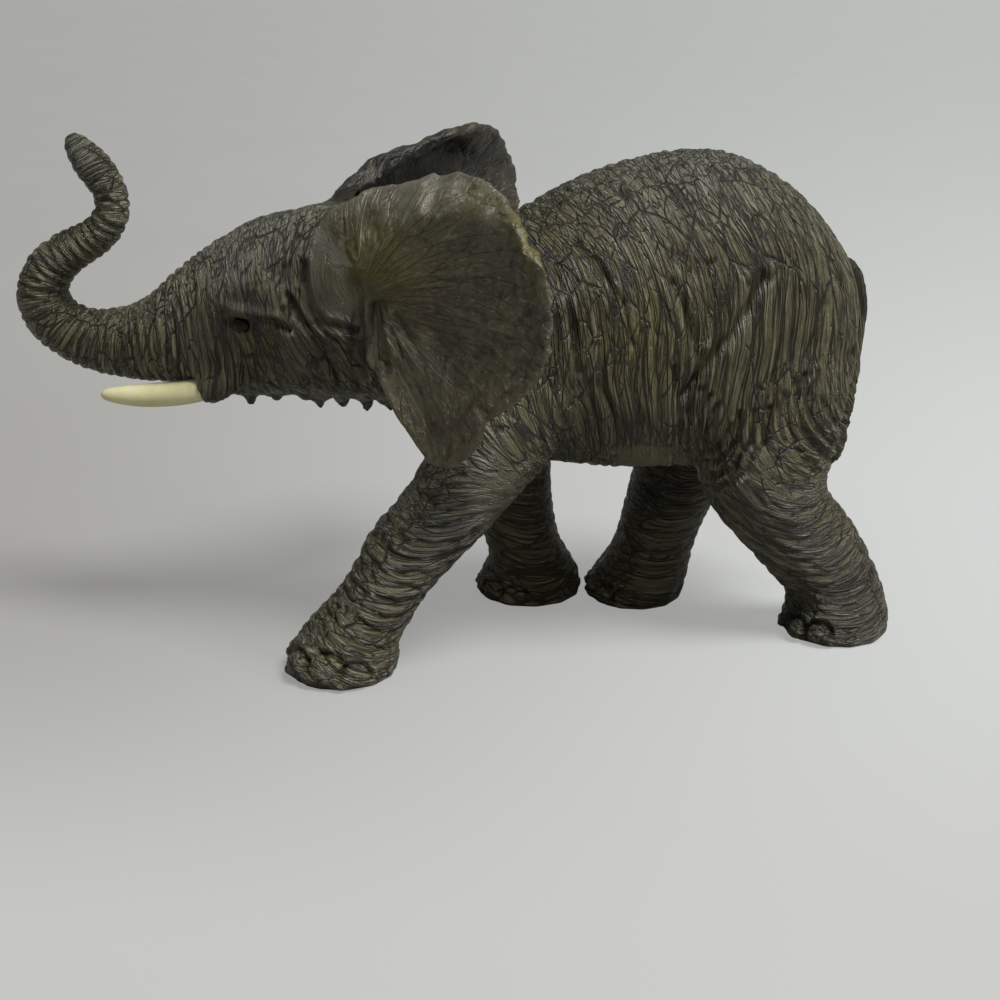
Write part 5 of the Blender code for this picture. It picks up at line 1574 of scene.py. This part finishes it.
def scratch_group() -> bpy.types.NodeTree:
    """A family of long fine lines that wander, as a group.

    Returns:
        The group: 1 in a line to 0 on the skin between.
    """
    tree, nodes, inward = line_tree("skin_scratches")
    place = flow_space(nodes, inward)
    lines = nodes.add("TexNoise", {"Vector": place, "Scale": 0.5, "Detail": 1.0, "Roughness": 0.45})
    middle = nodes.math("ABSOLUTE", nodes.math("SUBTRACT", lines.outputs[0], 0.5))
    near = nodes.math("SUBTRACT", 1.0, nodes.math("DIVIDE", middle, inward["Width"], clamp=True))
    faint = nodes.add("TexNoise", {"Vector": place, "Scale": 0.37, "Detail": 0.0})
    held = nodes.math("MULTIPLY", near, nodes.span(faint.outputs[0], 0.40, 0.62))
    tree.links.new(held, nodes.add("NodeGroupOutput").inputs["Line"])
    return tree


def crack_group() -> bpy.types.NodeTree:
    """A net of straight cracks round flat plates, as a group.

    Returns:
        The group: 1 in a crack to 0 on a plate.
    """
    tree, nodes, inward = line_tree("skin_cracks")
    place = flow_space(nodes, inward)
    wander = nodes.add("TexNoise", {"Vector": place, "Scale": 1.1, "Detail": 2.0})
    offset = nodes.add("VectorMath", {0: wander.outputs["Color"], 1: (0.5, 0.5, 0.5)}, operation="SUBTRACT")
    pushed = nodes.add("VectorMath", {0: offset.outputs[0], 1: (0.22, 0.22, 0.22)}, operation="MULTIPLY")
    moved = nodes.add("VectorMath", {0: place, 1: pushed.outputs[0]}, operation="ADD")
    plates = {"Vector": moved.outputs[0], "Scale": 1.0, "Randomness": 0.82}
    cells = nodes.add("TexVoronoi", plates, feature="DISTANCE_TO_EDGE")
    width = nodes.add("TexNoise", {"Vector": place, "Scale": 0.8, "Detail": 1.0})
    broad = nodes.math("MULTIPLY", inward["Width"], nodes.span(width.outputs[0], 0.36, 0.66, 0.12, 1.6))
    near = nodes.math("SUBTRACT", 1.0, nodes.math("DIVIDE", cells.outputs["Distance"], broad, clamp=True))
    held = nodes.math("MULTIPLY", near, nodes.span(width.outputs[0], 0.34, 0.50, 0.25, 1.0))
    tree.links.new(held, nodes.add("NodeGroupOutput").inputs["Line"])
    return tree


def grain_group() -> bpy.types.NodeTree:
    """Fine moulded grain and blotches of uneven paint, as a group.

    Returns:
        The group, with outputs Grain and Blotch.
    """
    tree = bpy.data.node_groups.new("cast_grain", "ShaderNodeTree")
    face = tree.interface
    face.new_socket("Place", in_out="INPUT", socket_type="NodeSocketVector")
    face.new_socket("Grain", in_out="OUTPUT", socket_type="NodeSocketFloat")
    face.new_socket("Blotch", in_out="OUTPUT", socket_type="NodeSocketFloat")
    nodes = Nodes(tree)
    place = nodes.add("NodeGroupInput").outputs["Place"]
    fine = nodes.add("TexNoise", {"Vector": place, "Scale": 2400.0, "Detail": 3.0, "Roughness": 0.6})
    broad = nodes.add("TexNoise", {"Vector": place, "Scale": 170.0, "Detail": 4.0, "Roughness": 0.62})
    out = nodes.add("NodeGroupOutput")
    tree.links.new(fine.outputs[0], out.inputs["Grain"])
    tree.links.new(nodes.span(broad.outputs[0], 0.32, 0.68), out.inputs["Blotch"])
    return tree


@dataclass(frozen=True)
class HideColours:
    """The paints of the hide, as linear colours."""

    # Dark paint that also stands as painted shade in the creases and cracks.
    deep: Colour = (0.0085, 0.0072, 0.0042, 1.0)
    base: Colour = (0.134, 0.131, 0.072, 1.0)
    warm: Colour = (0.116, 0.095, 0.043, 1.0)
    # Drybrushing that also stands as painted highlights and glints on the ridges.
    drybrush_highlight_colour: Colour = (0.420, 0.415, 0.290, 1.0)
    olive: Colour = (0.175, 0.148, 0.016, 1.0)
    umber: Colour = (0.075, 0.050, 0.018, 1.0)
    # Near-black: dark paint, and painted shade from the dark spots.
    dark_paint_and_shade: Colour = (0.006, 0.006, 0.005, 1.0)
    # Painted light: a lighter grey for the lit tops and rims.
    painted_light: Colour = (0.250, 0.250, 0.215, 1.0)


@dataclass(frozen=True)
class LineFamily:
    """Fine lines of the paint: turn, spacing, length and width, and how strong on folds and on the net."""

    turn: float
    across: float
    along: float
    width: float
    folded: float = 1.0
    netted: float = 1.0


@dataclass(frozen=True)
class Hide:
    """The painted skin: its colours, its families of fine lines, and how strong each layer is."""

    name: str = "hide_paint"
    colours: HideColours = HideColours()
    cracks: tuple[LineFamily, ...] = (
        LineFamily(-8.0, 1.9, 8.0, 0.075, 0.95, 0.35),
        LineFamily(-26.0, 1.25, 5.5, 0.065, 0.50, 0.85),
        LineFamily(5.0, 0.90, 3.0, 0.08, 0.60, 0.60),
        LineFamily(31.0, 1.5, 6.0, 0.055, 0.65, 0.85),
        LineFamily(84.0, 1.4, 4.0, 0.06, 0.70, 0.95),
    )
    scratches: tuple[LineFamily, ...] = (
        LineFamily(8.0, 2.6, 13.0, 0.020),
        LineFamily(-33.0, 3.6, 14.0, 0.013),
        LineFamily(46.0, 3.8, 14.0, 0.013),
    )
    veined: bool = False
    bump: float = 0.00060
    # How strongly dark paint stands as painted shade in the relief's creases, the cracks and the streaks'
    # hollows.
    relief_wash_and_shade: float = 0.36
    crack_wash_and_shade: float = 0.88
    streak_wash_and_shade: float = 0.40
    # How strongly drybrushing and painted highlights show on the ridges.
    brush: float = 0.48
    specular: float = 0.62


EAR_HIDE = Hide(
    name="ear_paint",
    colours=HideColours(
        base=(0.116, 0.112, 0.064, 1.0), warm=(0.100, 0.084, 0.040, 1.0), painted_light=(0.150, 0.150, 0.128, 1.0)
    ),
    cracks=(LineFamily(-8.0, 1.9, 8.0, 0.075, 0.95, 0.35),),
    scratches=(LineFamily(1.0, 2.2, 18.0, 0.022), LineFamily(-7.0, 2.6, 22.0, 0.018)),
    veined=True,
)


@dataclass(frozen=True)
class Ivory:
    """Cream paint with faint blotches and dark specks."""

    light: Colour = (0.74, 0.70, 0.43, 1.0)
    dull: Colour = (0.66, 0.60, 0.33, 1.0)
    speck: Colour = (0.20, 0.16, 0.08, 1.0)
    bump: float = 0.0001
    roughness: float = 0.38


@dataclass(frozen=True)
class EyeGloss:
    """Glossy near-black paint with faint brown blotches."""

    black: Colour = (0.003, 0.0025, 0.002, 1.0)
    brown: Colour = (0.010, 0.006, 0.003, 1.0)
    roughness: float = 0.10
    specular: float = 0.22


class Finishes:
    """Makes the procedural materials."""

    def __init__(self) -> None:
        """Makes the shared groups."""
        self.scratches = scratch_group()
        self.cracks = crack_group()
        self.grain = grain_group()

    @staticmethod
    def _started(name: str) -> tuple[bpy.types.Material, Nodes, bpy.types.Node]:
        """A new material, its nodes, and its Principled shader."""
        material = bpy.data.materials.new(name)
        material.use_nodes = True
        return material, Nodes(material.node_tree), material.node_tree.nodes["Principled BSDF"]

    @staticmethod
    def _lines(
        nodes: Nodes, group: bpy.types.NodeTree, flow: bpy.types.NodeSocket, family: LineFamily
    ) -> bpy.types.NodeSocket:
        """One family of scratches or cracks in a material."""
        node = nodes.add("Group", node_tree=group)
        nodes.tree.links.new(flow, node.inputs["Flow"])
        node.inputs["Turn"].default_value = math.radians(family.turn)
        node.inputs["Across"].default_value = family.across
        node.inputs["Along"].default_value = family.along
        node.inputs["Width"].default_value = family.width
        return node.outputs["Line"]

    def hide(self, finish: Hide) -> bpy.types.Material:
        """The painted skin: dark paint that also stands as painted shade in the creases and cracks,
        drybrushing that also stands as painted highlights and glints on the ridges, tinted patches, and
        patches of painted shade and painted light.

        Args:
            finish: Its colours, lines and strengths.

        Returns:
            The material.
        """
        material, nodes, shader = self._started(finish.name)
        colours = finish.colours
        flow = nodes.add("Attribute", attribute_name="flow").outputs["Vector"]
        paint = nodes.add("Attribute", attribute_name="paint")
        tints_and_shade = nodes.add("SeparateColor", {0: paint.outputs["Color"]})
        detail = nodes.add("Attribute", attribute_name="detail")
        parts = nodes.add("SeparateColor", {0: detail.outputs["Color"]})
        strength, relief, ears = parts.outputs[0], parts.outputs[1], parts.outputs[2]
        place = nodes.add("TexCoord").outputs["Object"]
        grain = nodes.add("Group", {"Place": place}, node_tree=self.grain)
        amount = nodes.times(strength, nodes.span(ears, 0.2, 0.9, 1.0, 0.30))
        cut = nodes.times(self._cut(nodes, finish, flow, detail.outputs["Alpha"]), amount)
        raised = nodes.times(self._raised(nodes, finish, flow), strength)
        if finish.veined:
            reach = nodes.add("SeparateXYZ", {0: flow}).outputs[1]
            fan = nodes.times(nodes.span(reach, 5.0, 11.0), nodes.span(reach, 22.0, 33.0, 1.0, 0.0))
            raised = nodes.times(raised, fan)
        drawn = nodes.add("VectorMath", {0: flow, 1: (1.0, 0.45, 0.45)}, operation="MULTIPLY").outputs[0]
        streaks = {"Vector": drawn, "Scale": 1.5, "Detail": 4.0, "Roughness": 0.72}
        streak = nodes.add("TexNoise", streaks).outputs[0]
        tall = nodes.math("SUBTRACT", nodes.times(grain.outputs["Grain"], 0.20), cut)
        tall = nodes.math("ADD", tall, nodes.times(streak, nodes.times(amount, 2.0)))
        tall = nodes.math("ADD", tall, nodes.times(raised, 0.5))
        bump = nodes.add("Bump", {"Strength": 1.0, "Distance": finish.bump, "Height": tall})

        # Dark paint that also stands as painted shade: darker in the relief's creases, in the cracks and in
        # the streaks' hollows, and a little darker on the bare patches.
        wash_and_shade = nodes.times(nodes.span(relief, 0.03, 0.34, 1.0, 0.0), finish.relief_wash_and_shade)
        wash_and_shade = nodes.most(wash_and_shade, nodes.times(nodes.span(cut, 0.14, 0.60), finish.crack_wash_and_shade))
        hollow = nodes.span(streak, 0.28, 0.42, 1.0, 0.0)
        wash_and_shade = nodes.most(wash_and_shade, nodes.times(hollow, nodes.times(amount, finish.streak_wash_and_shade)))
        wash_and_shade = nodes.most(wash_and_shade, nodes.span(strength, 0.2, 0.9, 0.22, 0.0))
        # Drybrushing that also stands as painted highlights: lighter on the relief's ridges and along the
        # raised lines, with light flecks as painted glints.
        ridge = nodes.times(nodes.span(relief, 0.46, 0.85), nodes.span(cut, 0.0, 0.4, 1.0, 0.0))
        ridge = nodes.times(ridge, nodes.span(streak, 0.42, 0.66, 0.35, 1.0))
        brush = nodes.times(ridge, nodes.span(grain.outputs["Blotch"], 0.1, 0.9, 0.25, 0.9))
        brush = nodes.math("ADD", brush, nodes.times(raised, 0.7), clamp=True)
        painted_glint = nodes.times(nodes.span(streak, 0.54, 0.66), nodes.span(strength, 0.3, 0.9, 0.0, 0.85))
        brush = nodes.most(brush, nodes.times(painted_glint, nodes.span(cut, 0.0, 0.3, 1.0, 0.0)))

        colour = nodes.mix(grain.outputs["Blotch"], colours.base, colours.warm)
        if finish.veined:
            blotches = {"Vector": place, "Scale": 330.0, "Detail": 6.0, "Roughness": 0.75}
            patch = nodes.add("TexNoise", blotches).outputs[0]
            colour = nodes.mix(nodes.span(patch, 0.40, 0.58, 0.0, 0.75), colour, colours.umber)
            colour = nodes.mix(nodes.span(patch, 0.52, 0.64, 0.0, 0.75), colour, colours.dark_paint_and_shade)
        colour = nodes.mix(tints_and_shade.outputs[1], colour, colours.umber)
        colour = nodes.mix(tints_and_shade.outputs[0], colour, colours.olive)
        # Drybrushing and painted highlights.
        colour = nodes.mix(nodes.times(brush, finish.brush), colour, colours.drybrush_highlight_colour)
        # Patches of painted light.
        colour = nodes.mix(paint.outputs["Alpha"], colour, colours.painted_light)
        # Dark paint and painted shade in the creases and cracks.
        colour = nodes.mix(wash_and_shade, colour, colours.deep)
        # Dark paint and painted shade from the dark spots.
        colour = nodes.mix(tints_and_shade.outputs[2], colour, colours.dark_paint_and_shade)
        nodes.tree.links.new(colour, shader.inputs["Base Color"])
        rough = nodes.span(grain.outputs["Grain"], 0.3, 0.7, 0.28, 0.46)
        nodes.tree.links.new(rough, shader.inputs["Roughness"])
        nodes.tree.links.new(bump.outputs[0], shader.inputs["Normal"])
        shader.inputs["Specular IOR Level"].default_value = finish.specular
        return material

    def _cut(
        self, nodes: Nodes, finish: Hide, flow: bpy.types.NodeSocket, net: bpy.types.NodeSocket
    ) -> bpy.types.NodeSocket:
        """The fine cracks of all families: 1 in a crack to 0 between."""
        cut: object = 0.0
        for family in finish.cracks:
            line = self._lines(nodes, self.cracks, flow, family)
            cut = nodes.most(cut, nodes.times(line, nodes.span(net, 0.0, 1.0, family.folded, family.netted)))
        return cut

    def _raised(self, nodes: Nodes, finish: Hide, flow: bpy.types.NodeSocket) -> bpy.types.NodeSocket:
        """The fine raised lines of all families: 1 on a line to 0 between."""
        raised: object = 0.0
        for family in finish.scratches:
            raised = nodes.most(raised, self._lines(nodes, self.scratches, flow, family))
        return raised

    def ivory(self, finish: Ivory) -> bpy.types.Material:
        """The tusks' paint.

        Args:
            finish: Its colours and strengths.

        Returns:
            The material.
        """
        material, nodes, shader = self._started("ivory_paint")
        place = nodes.add("TexCoord").outputs["Object"]
        grain = nodes.add("Group", {"Place": place}, node_tree=self.grain)
        colour = nodes.mix(grain.outputs["Blotch"], finish.light, finish.dull)
        speck = nodes.span(grain.outputs["Grain"], 0.72, 0.80)
        colour = nodes.mix(nodes.times(speck, 0.5), colour, finish.speck)
        blotch = grain.outputs["Blotch"]
        bump = nodes.add("Bump", {"Strength": 0.25, "Distance": finish.bump, "Height": blotch})
        nodes.tree.links.new(colour, shader.inputs["Base Color"])
        nodes.tree.links.new(bump.outputs[0], shader.inputs["Normal"])
        shader.inputs["Roughness"].default_value = finish.roughness
        return material

    def eye(self, finish: EyeGloss) -> bpy.types.Material:
        """The eye beads' paint.

        Args:
            finish: Its colours and strengths.

        Returns:
            The material.
        """
        material, nodes, shader = self._started("eye_gloss")
        place = nodes.add("TexCoord").outputs["Object"]
        grain = nodes.add("Group", {"Place": place}, node_tree=self.grain)
        colour = nodes.mix(grain.outputs["Blotch"], finish.black, finish.brown)
        nodes.tree.links.new(colour, shader.inputs["Base Color"])
        shader.inputs["Roughness"].default_value = finish.roughness
        shader.inputs["Specular IOR Level"].default_value = finish.specular
        return material


class SmallPieces:
    """The tusks and the eye beads, rounded from their castings."""

    def __init__(self, nodes: dict[str, bpy.types.Object], finishes: Finishes) -> None:
        """Keeps what the pieces are made from.

        Args:
            nodes: The CAD nodes by name.
            finishes: The materials.
        """
        self.nodes = nodes
        self.ivory = finishes.ivory(Ivory())
        self.eye = finishes.eye(EyeGloss())

    def make(self) -> None:
        """Makes all four."""
        for side in ("left", "right"):
            self._rounded(f"tusk_{side}", self.ivory)
            self._rounded(f"eye_{side}", self.eye)

    def _rounded(self, node: str, material: bpy.types.Material) -> None:
        """A finer, rounder copy of a casting."""
        bm = bmesh.new()
        bm.from_mesh(self.nodes[node].data)
        bmesh.ops.remove_doubles(bm, verts=bm.verts, dist=MERGE * MM)
        bmesh.ops.join_triangles(bm, faces=bm.faces, angle_face_threshold=1.0, angle_shape_threshold=1.0)
        scratch = bpy.data.meshes.new("scratch")
        bm.to_mesh(scratch)
        bm.free()
        holder = bpy.data.objects.new("scratch", scratch)
        bpy.context.scene.collection.objects.link(holder)
        fine = holder.modifiers.new("Round", "SUBSURF")
        fine.levels = fine.render_levels = 2
        bpy.context.view_layer.update()
        mesh = bpy.data.meshes.new_from_object(holder.evaluated_get(bpy.context.evaluated_depsgraph_get()))
        bpy.data.objects.remove(holder)
        round_bm = bmesh.new()
        round_bm.from_mesh(mesh)
        if node.startswith("eye"):
            side = -1.0 if node.endswith("left") else 1.0
            out = Vector((-side * math.sin(HEAD_TURN), side * math.cos(HEAD_TURN), 0.0))
            middle = sum((vertex.co for vertex in round_bm.verts), Vector()) / len(round_bm.verts)
            shift = Matrix.Translation(-middle)
            bmesh.ops.scale(round_bm, verts=round_bm.verts, vec=EYE_SCALE, space=shift)
            bmesh.ops.translate(round_bm, verts=round_bm.verts, vec=out * EYE_PROUD * MM)
        bpy.data.meshes.remove(mesh)
        piece = finished(f"{node}_finish", round_bm, material, node)


@dataclass(frozen=True)
class FloorFalloffTones:
    """The floor's painted light falloff, far, middle and close, each on the picture's left and right, and
    what the figure sees of it.
    """

    far: tuple[Colour, Colour] = ((0.392, 0.394, 0.384, 1.0), (0.515, 0.530, 0.515, 1.0))
    middle: tuple[Colour, Colour] = ((0.385, 0.378, 0.362, 1.0), (0.655, 0.672, 0.660, 1.0))
    close: tuple[Colour, Colour] = ((0.560, 0.562, 0.548, 1.0), (0.604, 0.610, 0.590, 1.0))
    speck: Colour = (0.9, 0.9, 0.9, 1.0)
    black: Colour = (0.0, 0.0, 0.0, 1.0)
    reflected: Colour = (0.34, 0.34, 0.32, 1.0)


@dataclass(frozen=True)
class Studio:
    """The floor, the lights and the soft surroundings."""

    falloff_tones: FloorFalloffTones = FloorFalloffTones()
    floor_size: float = 12.0
    floor_glow: float = 0.57
    floor_shade: float = 0.62
    window_aim: Place = (-0.42, 0.34, -1.0)
    window_spread: float = 24.0
    window_power: float = 3.2
    side_place: Place = (1.15, -0.45, 0.80)
    side_aim: Place = (0.05, 0.0, 0.05)
    side_size: float = 0.9
    side_power: float = 2.5
    room_colour: Colour = (1.0, 1.0, 0.95, 1.0)
    room_power: float = 0.21

    def make(self) -> None:
        """Adds them to the scene."""
        self._floor()
        self._window()
        self._side()
        world = bpy.data.worlds.new("studio")
        world.use_nodes = True
        back = world.node_tree.nodes["Background"]
        back.inputs["Color"].default_value = self.room_colour
        back.inputs["Strength"].default_value = self.room_power
        bpy.context.scene.world = world
        bpy.context.scene.view_settings.view_transform = "Standard"

    def _window(self) -> None:
        """A wide, soft light from far away."""
        data = bpy.data.lights.new("window", "SUN")
        data.angle = math.radians(self.window_spread)
        data.energy = self.window_power
        light = bpy.data.objects.new("window", data)
        light.rotation_euler = Vector(self.window_aim).to_track_quat("-Z", "Y").to_euler()
        bpy.context.scene.collection.objects.link(light)

    def _side(self) -> None:
        """A soft square light at the side that looks at the figure."""
        data = bpy.data.lights.new("side", "AREA")
        data.size = self.side_size
        data.energy = self.side_power
        light = bpy.data.objects.new("side", data)
        light.location = self.side_place
        way = Vector(self.side_aim) - Vector(self.side_place)
        light.rotation_euler = way.to_track_quat("-Z", "Y").to_euler()
        bpy.context.scene.collection.objects.link(light)

    def _floor(self) -> None:
        """A plain floor of a light grey with faint unevenness; to the camera it glows with its painted light
        falloff over a darker lit share, so that shadows on it stay faint, and to the figure it shows a
        darker, even colour.
        """
        bm = bmesh.new()
        bmesh.ops.create_grid(bm, x_segments=2, y_segments=2, size=self.floor_size)
        mesh = bpy.data.meshes.new("floor")
        bm.to_mesh(mesh)
        bm.free()
        floor = bpy.data.objects.new("floor", mesh)
        bpy.context.scene.collection.objects.link(floor)
        material = bpy.data.materials.new("floor_card")
        material.use_nodes = True
        nodes = Nodes(material.node_tree)
        shader = material.node_tree.nodes["Principled BSDF"]
        tone = self._painted_falloff(nodes)
        seen = nodes.add("LightPath").outputs["Is Camera Ray"]
        shaded = nodes.mix(self.floor_shade, tone, self.falloff_tones.black)
        nodes.tree.links.new(tone, shader.inputs["Emission Color"])
        # Painted light: seen by the camera, the floor glows with its falloff.
        nodes.tree.links.new(nodes.times(seen, self.floor_glow), shader.inputs["Emission Strength"])
        nodes.tree.links.new(nodes.mix(seen, self.falloff_tones.reflected, shaded), shader.inputs["Base Color"])
        shader.inputs["Specular IOR Level"].default_value = 0.0
        shader.inputs["Roughness"].default_value = 0.85
        mesh.materials.append(material)

    def _painted_falloff(self, nodes: Nodes) -> bpy.types.NodeSocket:
        """The floor's painted light falloff, by how far a place lies from the camera and to which side."""
        place = nodes.add("TexCoord").outputs["Object"]
        noise = nodes.add("TexNoise", {"Vector": place, "Scale": 9.0, "Detail": 3.0})
        stand = (np.array(LENS.place) + FIGURE_SHIFT) * MM
        away = nodes.add("VectorMath", {0: place, 1: (stand[0], stand[1], 0.0)}, operation="SUBTRACT")
        turn = -math.radians(LENS.turn_degrees[2])
        spun = nodes.add("VectorRotate", {"Vector": away.outputs[0], "Angle": turn}, rotation_type="Z_AXIS")
        sides = nodes.add("SeparateXYZ", {0: spun.outputs[0]})
        reach = nodes.most(sides.outputs[1], 0.05)
        down = nodes.math("DIVIDE", float(stand[2]), reach)
        side = nodes.span(nodes.math("DIVIDE", sides.outputs[0], reach), -0.42, 0.42)
        far = nodes.mix(side, *self.falloff_tones.far)
        middle = nodes.mix(side, *self.falloff_tones.middle)
        close = nodes.mix(side, *self.falloff_tones.close)
        tone = nodes.mix(nodes.span(down, 0.05, 0.36), far, middle)
        tone = nodes.mix(nodes.span(down, 0.38, 0.74), tone, close)
        return nodes.mix(nodes.span(noise.outputs[0], 0.3, 0.7, 0.0, 0.015), tone, self.falloff_tones.speck)


def main() -> None:
    """Builds the dressed figure."""
    logging.basicConfig(level=logging.INFO, format="%(message)s")
    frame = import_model()
    LENS.make()
    Studio().make()
    finishes = Finishes()
    blank = Blank(frame["nodes"], VOXEL)
    sculptor = Sculptor(blank)
    parting = Parting(blank, sculptor, sculptor.sculpt())
    hide = finishes.hide(Hide())
    ear_hide = finishes.hide(EAR_HIDE)
    for region in REGIONS:
        ear = region in EARS
        piece = parting.piece(region, ear_hide if ear else hide)
    bpy.data.objects.remove(blank.object)
    SmallPieces(frame["nodes"], finishes).make()
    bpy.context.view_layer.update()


if __name__ == "__main__":
    main()
